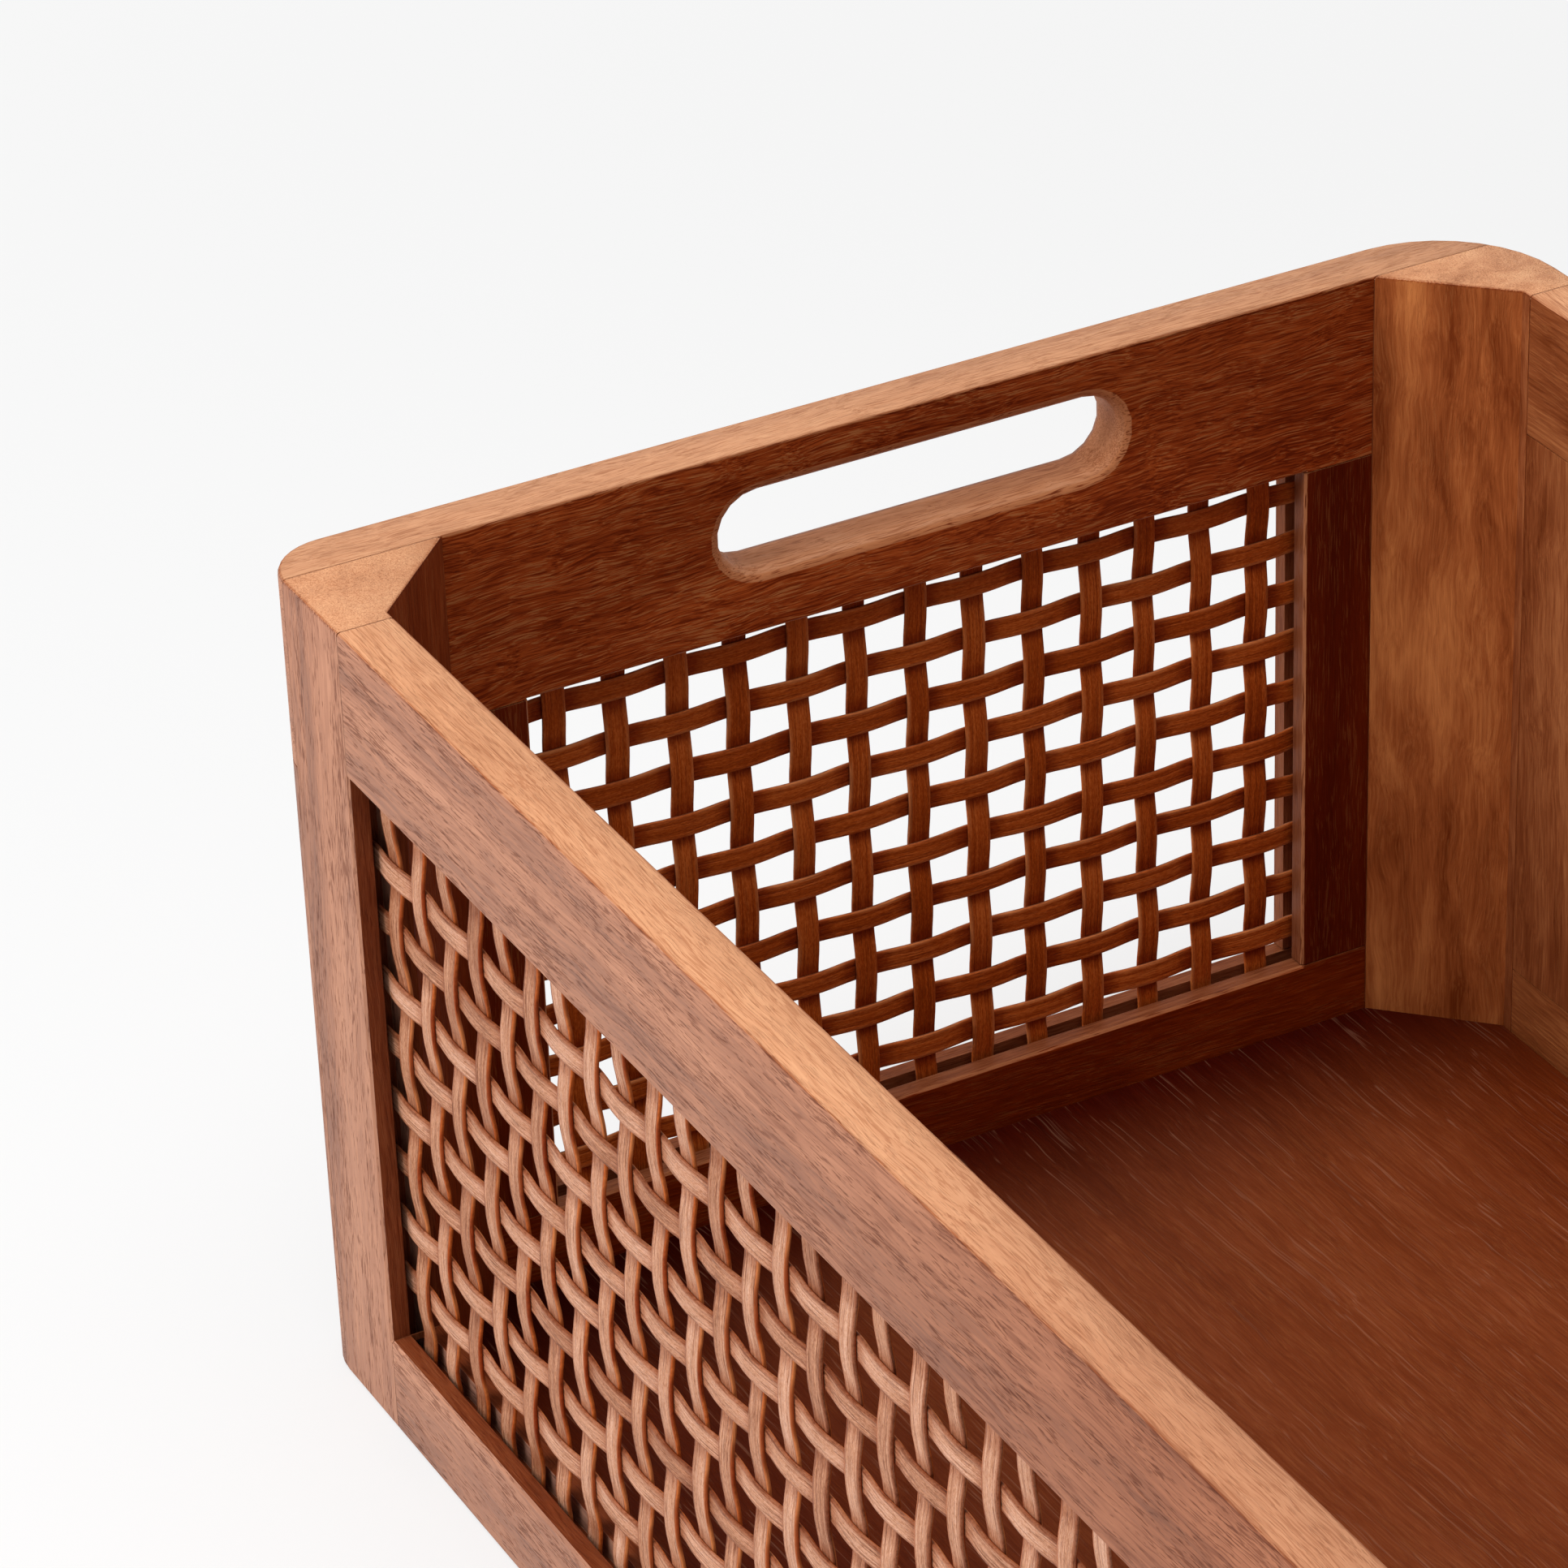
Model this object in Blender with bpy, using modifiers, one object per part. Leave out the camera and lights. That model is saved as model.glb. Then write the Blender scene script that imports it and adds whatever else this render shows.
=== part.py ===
"""Open storage crate: hardwood frames round woven cane panels, with a hand slot in each end.

Metres, +Z up. X runs along the crate, Y across it, and the origin is the middle of its foot.
"""
import math

import bmesh
import bpy
from mathutils import Matrix, Vector

# Overall size, and the corners' rounding, tighter along the front wall than along the back
LENGTH = 0.420
WIDTH = 0.280
HEIGHT = 0.183
WALL = 0.012
FRONT_CORNER_RADIUS = 0.013
BACK_CORNER_RADIUS = 0.028
CORNER_STEPS = 9
RIM_EASE = 0.0008
EASE_STEPS = 2

# Corner posts: their reach along long and end walls, and where the inner chamfer meets the walls
POST_SIDE_REACH = 0.0365
POST_END_REACH = 0.035
CHAMFER_REACH = 0.034

# Heights of the rails, and the widths of the stiles in the end frames and in the back wall
SIDE_TOP_RAIL = 0.0315
SIDE_BOTTOM_RAIL = 0.0215
HANDLE_RAIL = 0.041
END_BOTTOM_RAIL = 0.0215
STILE_WIDTH = 0.050
BACK_STILE_WIDTH = 0.045
OPENING_EASE = 0.0006

# Hand slot in the handle rail: the throat, the round-over at each face, and its place under the rim
SLOT_LENGTH = 0.092
SLOT_HEIGHT = 0.0175
SLOT_ROUND = 0.0026
SLOT_BELOW_RIM = 0.0100
SLOT_STEPS = 9
SLOT_ROUND_STEPS = 3

# Floor board: its field stands up between the walls, and its thinner edge lies in their rebate
FLOOR_THICKNESS = 0.0055
FLOOR_EDGE_THICKNESS = 0.0035
FLOOR_CLEARANCE = 0.0005
REBATE_DEPTH = 0.004

# Grooves for the cane, and the tongues that share them
GROOVE_WIDTH = 0.0036
GROOVE_DEPTH = 0.0053
TONGUE_STOP = 0.0080
GROOVE_STOP = 0.019
GROOVE_ABOVE_REBATE = 0.0006

# Dowels that pin the end frames to the posts
DOWEL_RADIUS = 0.003
DOWEL_SIDES = 12
DOWEL_CHAMFER = 0.0004
DOWEL_IN_END = 0.005
DOWEL_IN_POST = 0.010
DOWEL_FROM_SIDE = 0.017

# Cane: strips, the bands that hold their ends in the grooves, and their spacing in each panel.
# The long walls' level strips sit below the middle of their openings.
CANE_THICKNESS = 0.0009
WARP_WIDTH = 0.0052
WEFT_WIDTH = 0.0048
BAND_HEIGHT = 0.004
SIDE_WARP_PITCH = 0.0121
SIDE_WEFT_PITCH = 0.0139
SIDE_WARP_MARGIN = 0.0052
SIDE_WEFT_MARGIN = 0.0163
SIDE_WEFT_DROP = 0.0040
END_WARP_PITCH = 0.01365
END_WEFT_PITCH = 0.0118
END_WARP_MARGIN = 0.0081
END_WEFT_MARGIN = 0.0070

# Clearances: between pieces, past the pieces for a cut, and short of a face for an easing form
GAP = 0.0003
OVERRUN = 0.004
SHY = 0.00005

# Sizes that follow from those above
HALF_LENGTH = LENGTH / 2
HALF_WIDTH = WIDTH / 2
FLOOR_TOP = FLOOR_CLEARANCE + FLOOR_THICKNESS
SIDE_OPENING_LOW = SIDE_BOTTOM_RAIL
SIDE_OPENING_HIGH = HEIGHT - SIDE_TOP_RAIL
END_OPENING_LOW = END_BOTTOM_RAIL
END_OPENING_HIGH = HEIGHT - HANDLE_RAIL
SIDE_FRAME_HALF = HALF_LENGTH - POST_SIDE_REACH
SIDE_OPENING_HALF = {-1: SIDE_FRAME_HALF, 1: SIDE_FRAME_HALF - BACK_STILE_WIDTH}
END_OPENING_HALF = HALF_WIDTH - STILE_WIDTH
SIDE_MIDDLE = HALF_WIDTH - WALL / 2
END_MIDDLE = HALF_LENGTH - WALL / 2
CHAMFER_LEG = CHAMFER_REACH - WALL
TONGUE_THICKNESS = GROOVE_WIDTH - 2 * GAP
TONGUE_REACH = GROOVE_DEPTH - GAP
FLOOR_STEP = FLOOR_CLEARANCE + FLOOR_EDGE_THICKNESS
REBATE_TOP = FLOOR_STEP + GAP
POST_GROOVE_LOW = REBATE_TOP + GROOVE_ABOVE_REBATE
POST_GROOVE_HIGH = HEIGHT - TONGUE_STOP

SIDE_NAMES = {-1: "front", 1: "back"}
END_NAMES = {-1: "left", 1: "right"}


def clear_scene():
    """Empties the scene, so that the crate stands alone in it."""
    for item in list(bpy.data.objects):
        bpy.data.objects.remove(item, do_unlink=True)


def new_collection(name):
    collection = bpy.data.collections.new(name)
    bpy.context.scene.collection.children.link(collection)
    return collection


def wood(name, colour, roughness):
    """A Principled material of one colour."""
    material = bpy.data.materials.new(name)
    material.use_nodes = True
    shader = material.node_tree.nodes["Principled BSDF"]
    shader.inputs["Base Color"].default_value = (*colour, 1.0)
    shader.inputs["Roughness"].default_value = roughness
    shader.inputs["Metallic"].default_value = 0.0
    return material


clear_scene()
CRATE = new_collection("storage_crate")
CUTTERS = new_collection("cutters")
FRAME_WOOD = wood("frame_wood", (0.36, 0.145, 0.070), 0.5)
FLOOR_WOOD = wood("floor_wood", (0.30, 0.095, 0.045), 0.5)
CANE = wood("cane", (0.43, 0.175, 0.080), 0.55)
DOWEL_WOOD = wood("dowel_wood", (0.55, 0.36, 0.20), 0.6)


def place(name, mesh, collection, material=None):
    """Links a mesh into a collection as an object of that name."""
    item = bpy.data.objects.new(name, mesh)
    if material is not None:
        mesh.materials.append(material)
    if collection is CUTTERS:
        item.hide_render = True
        item.display_type = "WIRE"
    collection.objects.link(item)
    return item


def mesh_from(build, name):
    """A mesh data block from a bmesh, with every face pointing out."""
    bmesh.ops.recalc_face_normals(build, faces=build.faces)
    mesh = bpy.data.meshes.new(name)
    build.to_mesh(mesh)
    build.free()
    return mesh


def box(name, low, high, collection=CUTTERS, material=None):
    """An upright box between two corners."""
    low = Vector(low)
    high = Vector(high)
    size = high - low
    build = bmesh.new()
    move = Matrix.Translation((low + high) / 2) @ Matrix.Diagonal((*size, 1))
    bmesh.ops.create_cube(build, size=1, matrix=move)
    return place(name, mesh_from(build, name), collection, material)


def loft(name, rings, turn=Matrix.Identity(4), collection=CUTTERS, material=None):
    """A solid through a stack of closed rings of equal count; turn brings it from +Z to its axis."""
    build = bmesh.new()
    loops = []
    for ring in rings:
        verts = [build.verts.new(turn @ Vector(point)) for point in ring]
        loops.append([build.edges.new((verts[i - 1], verts[i])) for i in range(len(verts))])
    for below, above in zip(loops, loops[1:]):
        bmesh.ops.bridge_loops(build, edges=below + above)
    bmesh.ops.edgeloop_fill(build, edges=loops[0])
    bmesh.ops.edgeloop_fill(build, edges=loops[-1])
    return place(name, mesh_from(build, name), collection, material)


def at_height(outline, height):
    return [(x, y, height) for x, y in outline]


def rounded_rectangle(half_x, half_y, front_radius, back_radius, steps):
    """Corners as arcs, tighter in front than at the back, counter-clockwise from the +X side."""
    points = []
    for quarter, (side_x, side_y) in enumerate(((1, 1), (-1, 1), (-1, -1), (1, -1))):
        radius = back_radius if side_y > 0 else front_radius
        for step in range(steps + 1):
            angle = math.radians(90 * (quarter + step / steps))
            x = side_x * (half_x - radius) + radius * math.cos(angle)
            y = side_y * (half_y - radius) + radius * math.sin(angle)
            points.append((x, y))
    return points


def chamfered_rectangle(growth):
    """The crate's inside in plan, with its corners cut at 45 degrees, grown on every side."""
    half_x = HALF_LENGTH - WALL + growth
    half_y = HALF_WIDTH - WALL + growth
    leg = CHAMFER_LEG + growth * (2 - math.sqrt(2))
    corner = ((half_x, half_y - leg), (half_x - leg, half_y))
    points = []
    for side_x, side_y in ((1, 1), (-1, 1), (-1, -1), (1, -1)):
        ends = [(side_x * x, side_y * y) for x, y in corner]
        points += ends if side_x * side_y > 0 else ends[::-1]
    return points


def round_over(radius, steps):
    """Pairs of depth under a face and growth for an eased edge, last past the face on the same slope."""
    pairs = []
    for step in range(steps + 1):
        angle = math.radians(90 * step / steps)
        pairs.append((radius * (1 - math.sin(angle)), radius * (1 - math.cos(angle))))
    (depth_1, growth_1), (depth_0, growth_0) = pairs[-2], pairs[-1]
    pairs[-1] = (2 * depth_0 - depth_1, 2 * growth_0 - growth_1)
    return pairs


def outside_form():
    """The crate's outside as one solid: rounded corners, eased at the rim and the foot."""
    levels = []
    for step in range(EASE_STEPS + 1):
        angle = math.radians(90 * step / EASE_STEPS)
        levels.append((RIM_EASE * (1 - math.cos(angle)), RIM_EASE * (1 - math.sin(angle))))
    levels += [(HEIGHT - height, shrink) for height, shrink in reversed(levels)]
    rings = []
    for height, shrink in levels:
        outline = rounded_rectangle(
            HALF_LENGTH - shrink, HALF_WIDTH - shrink,
            FRONT_CORNER_RADIUS - shrink, BACK_CORNER_RADIUS - shrink, CORNER_STEPS
        )
        rings.append(at_height(outline, height))
    return loft("outside_form", rings)


def inside_form():
    """The crate's inside as one solid, flared at the rim by the easing."""
    levels = [(-OVERRUN, -SHY)]
    levels += [(HEIGHT - depth, growth - SHY) for depth, growth in round_over(RIM_EASE, EASE_STEPS)]
    rings = [at_height(chamfered_rectangle(growth), height) for height, growth in levels]
    return loft("inside_form", rings)


def through_form(name, outline, half_depth, ease, steps, turn):
    """A hole right through a wall, with its edges eased at both faces."""
    flare = round_over(ease, steps)
    levels = [(-half_depth + depth, growth) for depth, growth in reversed(flare)]
    levels += [(half_depth - depth, growth) for depth, growth in flare]
    rings = [at_height(outline(growth), height) for height, growth in levels]
    return loft(name, rings, turn)


def wall_turn(side, along_x, centre):
    """Brings +Z to point out of a wall and X along it, at the given centre."""
    out = Vector((0, side, 0)) if along_x else Vector((side, 0, 0))
    up = Vector((0, 0, 1))
    across = up.cross(out)
    turn = Matrix((across, up, out)).transposed().to_4x4()
    return Matrix.Translation(centre) @ turn


def opening_outline(half_width, half_height):
    """A rectangle whose growth makes the eased edge of a panel's opening."""
    def outline(growth):
        x = half_width - SHY + growth
        y = half_height - SHY + growth
        return [(x, y), (-x, y), (-x, -y), (x, -y)]
    return outline


def slot_outline(growth):
    """A slot with round ends."""
    radius = SLOT_HEIGHT / 2 + growth
    reach = (SLOT_LENGTH - SLOT_HEIGHT) / 2
    points = []
    for side in (1, -1):
        for step in range(SLOT_STEPS + 1):
            angle = math.radians(180 * step / SLOT_STEPS - 90)
            points.append((side * (reach + radius * math.cos(angle)), side * radius * math.sin(angle)))
    return points


def apply(item, cutter, operation):
    """Adds one Boolean to a piece."""
    step = item.modifiers.new(cutter.name, "BOOLEAN")
    step.operation = operation
    step.solver = "EXACT"
    step.object = cutter


def cut(item, *cutters):
    for cutter in cutters:
        apply(item, cutter, "DIFFERENCE")


def shape_walls(item):
    """Trims a blank to the crate's outside, and to its inside with the eased rim."""
    apply(item, OUTSIDE, "INTERSECT")
    cut(item, INSIDE)


OUTSIDE = outside_form()
INSIDE = inside_form()
REBATE = loft("floor_rebate", [at_height(chamfered_rectangle(REBATE_DEPTH), height)
                               for height in (-OVERRUN, REBATE_TOP)])


def side_forms(side):
    """The cutters of one long wall: the opening, its grooves and the rails' tongues."""
    name = SIDE_NAMES[side]
    y = side * SIDE_MIDDLE
    middle = (SIDE_OPENING_HIGH + SIDE_OPENING_LOW) / 2
    half_height = (SIDE_OPENING_HIGH - SIDE_OPENING_LOW) / 2
    turn = wall_turn(side, True, (0, y, middle))
    outline = opening_outline(SIDE_OPENING_HALF[side], half_height)
    opening = through_form(f"{name}_opening", outline, WALL / 2, OPENING_EASE, 1, turn)
    groove_half = GROOVE_WIDTH / 2
    rail_groove = box(
        f"{name}_rail_groove",
        (-HALF_LENGTH, y - groove_half, SIDE_OPENING_LOW - GROOVE_DEPTH),
        (HALF_LENGTH, y + groove_half, SIDE_OPENING_HIGH + GROOVE_DEPTH),
    )
    reach = SIDE_FRAME_HALF + GROOVE_DEPTH
    post_groove = box(
        f"{name}_post_groove",
        (-reach, y - groove_half, POST_GROOVE_LOW),
        (reach, y + groove_half, POST_GROOVE_HIGH),
    )
    half = TONGUE_THICKNESS / 2
    tip = SIDE_FRAME_HALF + TONGUE_REACH
    top_tongue = box(
        f"{name}_top_tongue",
        (-tip, y - half, SIDE_OPENING_HIGH + GROOVE_DEPTH + GAP),
        (tip, y + half, POST_GROOVE_HIGH - GAP),
    )
    bottom_tongue = box(
        f"{name}_bottom_tongue",
        (-tip, y - half, POST_GROOVE_LOW + GAP),
        (tip, y + half, SIDE_OPENING_LOW - GROOVE_DEPTH - GAP),
    )
    return opening, rail_groove, post_groove, top_tongue, bottom_tongue


def side_rails(side, forms):
    """The top and bottom rails of a long wall, which butt between the posts."""
    name = SIDE_NAMES[side]
    opening, rail_groove, _, top_tongue, bottom_tongue = forms
    half = SIDE_FRAME_HALF - GAP
    inner = side * (HALF_WIDTH - WALL)
    outer = side * (HALF_WIDTH + OVERRUN)
    near = min(inner, outer)
    far = max(inner, outer)
    top = box(f"{name}_top_rail", (-half, near, SIDE_OPENING_HIGH), (half, far, HEIGHT + OVERRUN),
              CRATE, FRAME_WOOD)
    bottom = box(f"{name}_bottom_rail", (-half, near, -OVERRUN), (half, far, SIDE_OPENING_LOW),
                 CRATE, FRAME_WOOD)
    shape_walls(top)
    cut(top, opening, rail_groove)
    apply(top, top_tongue, "UNION")
    apply(bottom, OUTSIDE, "INTERSECT")
    cut(bottom, opening, rail_groove)
    apply(bottom, bottom_tongue, "UNION")
    cut(bottom, REBATE)


def back_stiles(opening):
    """Stiles between the back wall's rails: tongued into them and into the posts, grooved for the cane."""
    groove_half = GROOVE_WIDTH / 2
    edge = SIDE_OPENING_HALF[1] + GROOVE_DEPTH
    groove = box(
        "back_stile_groove",
        (-edge, SIDE_MIDDLE - groove_half, 0),
        (edge, SIDE_MIDDLE + groove_half, HEIGHT),
    )
    half = TONGUE_THICKNESS / 2
    for end in (-1, 1):
        name = f"back_wall_stile_{END_NAMES[end]}"
        x = sorted((end * SIDE_OPENING_HALF[1], end * (SIDE_FRAME_HALF - GAP)))
        stile = box(name, (x[0], HALF_WIDTH - WALL, SIDE_OPENING_LOW + GAP),
                    (x[1], HALF_WIDTH + OVERRUN, SIDE_OPENING_HIGH - GAP), CRATE, FRAME_WOOD)
        x = sorted((end * (edge + GAP), end * (SIDE_FRAME_HALF + TONGUE_REACH)))
        tongue = box(
            f"{name}_tongue",
            (x[0], SIDE_MIDDLE - half, SIDE_OPENING_LOW - TONGUE_REACH),
            (x[1], SIDE_MIDDLE + half, SIDE_OPENING_HIGH + TONGUE_REACH),
        )
        apply(stile, OUTSIDE, "INTERSECT")
        cut(stile, opening, groove)
        apply(stile, tongue, "UNION")


def dowel_heights():
    """Middles of the bottom rail, the stile and the handle rail, from the foot up."""
    stile_middle = (END_OPENING_LOW + END_OPENING_HIGH) / 2
    return (END_BOTTOM_RAIL / 2, stile_middle, HEIGHT - HANDLE_RAIL / 2)


def dowel(name, end, side, height, clearance):
    """A dowel across the joint of end frame and post, or its bore when there is clearance."""
    inner = HALF_LENGTH - WALL - DOWEL_IN_POST - clearance
    outer = HALF_LENGTH - WALL + DOWEL_IN_END + clearance
    radius = DOWEL_RADIUS + clearance
    middle = Vector((end * (inner + outer) / 2, side * (HALF_WIDTH - DOWEL_FROM_SIDE), height))
    turn = Matrix.Translation(middle) @ Matrix.Rotation(math.radians(90), 4, "Y")
    build = bmesh.new()
    bmesh.ops.create_cone(build, cap_ends=True, segments=DOWEL_SIDES, radius1=radius,
                          radius2=radius, depth=outer - inner, matrix=turn)
    if not clearance:
        rims = [edge for edge in build.edges if any(len(face.verts) > 4 for face in edge.link_faces)]
        bmesh.ops.bevel(build, geom=rims, offset=DOWEL_CHAMFER, segments=1, affect="EDGES")
    mesh = mesh_from(build, name)
    mesh.shade_smooth()
    mesh.set_sharp_from_angle(angle=math.radians(40))
    if clearance:
        return place(name, mesh, CUTTERS)
    return place(name, mesh, CRATE, DOWEL_WOOD)


def corner_post(end, side, forms, bores):
    """A post inside the end frame: rounded with it outside, chamfered inside to the floor."""
    opening, _, post_groove, _, _ = forms
    name = f"post_{SIDE_NAMES[side]}_{END_NAMES[end]}"
    x = sorted((end * (HALF_LENGTH - WALL - GAP), end * SIDE_FRAME_HALF))
    y = sorted((side * (HALF_WIDTH + OVERRUN), side * (HALF_WIDTH - POST_END_REACH)))
    post = box(name, (x[0], y[0], -OVERRUN), (x[1], y[1], HEIGHT + OVERRUN), CRATE, FRAME_WOOD)
    shape_walls(post)
    cut(post, opening, post_groove, REBATE, *bores)


def end_forms(end):
    """The cutters of one end wall: the opening, the hand slot, the grooves and the stiles' tongues."""
    name = END_NAMES[end]
    x = end * END_MIDDLE
    middle = (END_OPENING_HIGH + END_OPENING_LOW) / 2
    half_height = (END_OPENING_HIGH - END_OPENING_LOW) / 2
    turn = wall_turn(end, False, (x, 0, middle))
    outline = opening_outline(END_OPENING_HALF, half_height)
    opening = through_form(f"{name}_opening", outline, WALL / 2, OPENING_EASE, 1, turn)
    slot_middle = HEIGHT - SLOT_BELOW_RIM - SLOT_HEIGHT / 2
    turn = wall_turn(end, False, (x, 0, slot_middle))
    slot = through_form(f"{name}_slot", slot_outline, WALL / 2, SLOT_ROUND, SLOT_ROUND_STEPS, turn)
    groove_half = GROOVE_WIDTH / 2
    reach = HALF_WIDTH - GROOVE_STOP
    low = END_OPENING_LOW - GROOVE_DEPTH
    high = END_OPENING_HIGH + GROOVE_DEPTH
    rail_groove = box(
        f"{name}_rail_groove", (x - groove_half, -reach, low), (x + groove_half, reach, high)
    )
    edge = END_OPENING_HALF + GROOVE_DEPTH
    stile_groove = box(
        f"{name}_stile_groove", (x - groove_half, -edge, 0), (x + groove_half, edge, HEIGHT)
    )
    half = TONGUE_THICKNESS / 2
    tongues = {}
    for side in (-1, 1):
        y = sorted((side * (edge + GAP), side * (reach - GAP)))
        tongues[side] = box(
            f"{name}_{SIDE_NAMES[side]}_tongue", (x - half, y[0], low + GAP), (x + half, y[1], high - GAP)
        )
    return opening, slot, rail_groove, stile_groove, tongues


def end_frame(end, bores):
    """The handle rail and the bottom rail run the full width, with the stiles between them."""
    name = END_NAMES[end]
    opening, slot, rail_groove, stile_groove, tongues = end_forms(end)
    x = sorted((end * (HALF_LENGTH - WALL), end * (HALF_LENGTH + OVERRUN)))
    across = HALF_WIDTH + OVERRUN
    low_bores, stile_bores, high_bores = [[bores[side][i] for side in (-1, 1)] for i in range(3)]
    handle = box(f"{name}_handle_rail", (x[0], -across, END_OPENING_HIGH),
                 (x[1], across, HEIGHT + OVERRUN), CRATE, FRAME_WOOD)
    shape_walls(handle)
    cut(handle, opening, slot, rail_groove, *high_bores)
    bottom = box(f"{name}_bottom_rail", (x[0], -across, -OVERRUN),
                 (x[1], across, END_OPENING_LOW), CRATE, FRAME_WOOD)
    apply(bottom, OUTSIDE, "INTERSECT")
    cut(bottom, opening, rail_groove, REBATE, *low_bores)
    for side, bore in zip((-1, 1), stile_bores):
        y = sorted((side * END_OPENING_HALF, side * across))
        stile = box(f"stile_{SIDE_NAMES[side]}_{name}", (x[0], y[0], END_OPENING_LOW + GAP),
                    (x[1], y[1], END_OPENING_HIGH - GAP), CRATE, FRAME_WOOD)
        apply(stile, OUTSIDE, "INTERSECT")
        cut(stile, opening, stile_groove)
        apply(stile, tongues[side], "UNION")
        cut(stile, bore)


def floor_board():
    """The board in the rebate round the foot: a thin edge, and a field that stands up inside it."""
    edge = chamfered_rectangle(REBATE_DEPTH - GAP)
    board = loft("floor_board", [at_height(edge, height) for height in (FLOOR_CLEARANCE, FLOOR_STEP)],
                 collection=CRATE, material=FLOOR_WOOD)
    inside = chamfered_rectangle(-GAP)
    root = FLOOR_CLEARANCE + FLOOR_EDGE_THICKNESS / 2
    field = loft("floor_field", [at_height(inside, height) for height in (root, FLOOR_TOP)])
    apply(board, field, "UNION")


def stations(span, pitch, margin):
    """Strip centres along a span, as near the wanted pitch as fits between the margins."""
    count = round((span - 2 * margin) / pitch)
    step = (span - 2 * margin) / count
    return [-span / 2 + margin + step * i for i in range(count + 1)]


def ribbon(build, line, width, across, turn):
    """An open strip along a line of points, spread to its width in the direction across."""
    made = bmesh.ops.create_grid(build, x_segments=len(line) - 1, y_segments=1, size=1)
    columns = {}
    for vert in made["verts"]:
        columns.setdefault(round(vert.co.x * (len(line) - 1)), []).append(vert)
    for key, point in zip(sorted(columns), line):
        for vert in columns[key]:
            side = 1 if vert.co.y > 0 else -1
            vert.co = turn @ (Vector(point) + side * width / 2 * Vector(across))


def strips(name, lines, width, across, turn):
    """Strips side by side as one piece of the crate, each of the cane's thickness."""
    build = bmesh.new()
    for line in lines:
        ribbon(build, line, width, across, turn)
    item = place(name, mesh_from(build, name), CRATE, CANE)
    thick = item.modifiers.new("thickness", "SOLIDIFY")
    thick.thickness = CANE_THICKNESS
    thick.offset = 0
    thick.use_even_offset = True
    return item


def bands(name, corners, turn):
    """The two glued bands that hold the ends of a set of strips in facing grooves."""
    half = TONGUE_THICKNESS / 2
    build = bmesh.new()
    for low, high in corners:
        low = Vector((*low, -half))
        high = Vector((*high, half))
        size = high - low
        move = turn @ Matrix.Translation((low + high) / 2) @ Matrix.Diagonal((*size, 1))
        bmesh.ops.create_cube(build, size=1, matrix=move)
    return place(name, mesh_from(build, name), CUTTERS)


def cane_panel(name, half_width, half_height, across, up, turn):
    """Straight upright strips, with level strips passing in front of and behind them by turns."""
    pitch = across[1] - across[0]
    slope = 1 - WARP_WIDTH / pitch
    lean = math.hypot(1, 2 * CANE_THICKNESS / (slope * pitch))
    rise = (CANE_THICKNESS * (1 + lean) / 2 + GAP * lean) / slope
    band_far = GROOVE_DEPTH - GAP
    band_near = band_far - BAND_HEIGHT
    hold = (band_far + band_near) / 2
    top = half_height + hold
    side = half_width + hold
    warp_lines = [[(x, -top, 0), (x, top, 0)] for x in across]
    weft_lines = []
    for row, y in enumerate(up):
        line = [(-side, y, 0)]
        line += [(x, y, rise if (row + i) % 2 else -rise) for i, x in enumerate(across)]
        line.append((side, y, 0))
        weft_lines.append(line)
    warp = strips(f"{name}_warp", warp_lines, WARP_WIDTH, (1, 0, 0), turn)
    weft = strips(f"{name}_weft", weft_lines, WEFT_WIDTH, (0, 1, 0), turn)
    high_band = ((-half_width, half_height + band_near), (half_width, half_height + band_far))
    low_band = ((-half_width, -half_height - band_far), (half_width, -half_height - band_near))
    left_band = ((-half_width - band_far, -half_height), (-half_width - band_near, half_height))
    right_band = ((half_width + band_near, -half_height), (half_width + band_far, half_height))
    apply(warp, bands(f"{name}_warp_bands", (low_band, high_band), turn), "UNION")
    apply(weft, bands(f"{name}_weft_bands", (left_band, right_band), turn), "UNION")


def side_cane(side):
    middle = (SIDE_OPENING_HIGH + SIDE_OPENING_LOW) / 2
    height = SIDE_OPENING_HIGH - SIDE_OPENING_LOW
    turn = wall_turn(side, True, (0, side * SIDE_MIDDLE, middle))
    half_width = SIDE_OPENING_HALF[side]
    across = stations(2 * half_width, SIDE_WARP_PITCH, SIDE_WARP_MARGIN)
    up = [y - SIDE_WEFT_DROP for y in stations(height, SIDE_WEFT_PITCH, SIDE_WEFT_MARGIN)]
    cane_panel(f"cane_{SIDE_NAMES[side]}", half_width, height / 2, across, up, turn)


def end_cane(end):
    middle = (END_OPENING_HIGH + END_OPENING_LOW) / 2
    height = END_OPENING_HIGH - END_OPENING_LOW
    turn = wall_turn(end, False, (end * END_MIDDLE, 0, middle))
    across = stations(2 * END_OPENING_HALF, END_WARP_PITCH, END_WARP_MARGIN)
    up = stations(height, END_WEFT_PITCH, END_WEFT_MARGIN)
    cane_panel(f"cane_{END_NAMES[end]}", END_OPENING_HALF, height / 2, across, up, turn)


def build_crate():
    forms = {side: side_forms(side) for side in (-1, 1)}
    for side in (-1, 1):
        side_rails(side, forms[side])
        side_cane(side)
    back_stiles(forms[1][0])
    for end in (-1, 1):
        bores = {}
        for side in (-1, 1):
            corner = f"{SIDE_NAMES[side]}_{END_NAMES[end]}"
            bores[side] = []
            for level, height in zip(("low", "middle", "high"), dowel_heights()):
                dowel(f"dowel_{corner}_{level}", end, side, height, 0)
                bores[side].append(dowel(f"bore_{corner}_{level}", end, side, height, GAP))
            corner_post(end, side, forms[side], bores[side])
        end_frame(end, bores)
        end_cane(end)
    floor_board()


build_crate()
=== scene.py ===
"""Looks of the open storage crate: oiled hardwood frames round woven cane, in a pale studio.

Metres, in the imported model's own frame: X along the crate, Y across it, Z up from its foot.
"""

import math
import random

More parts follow.
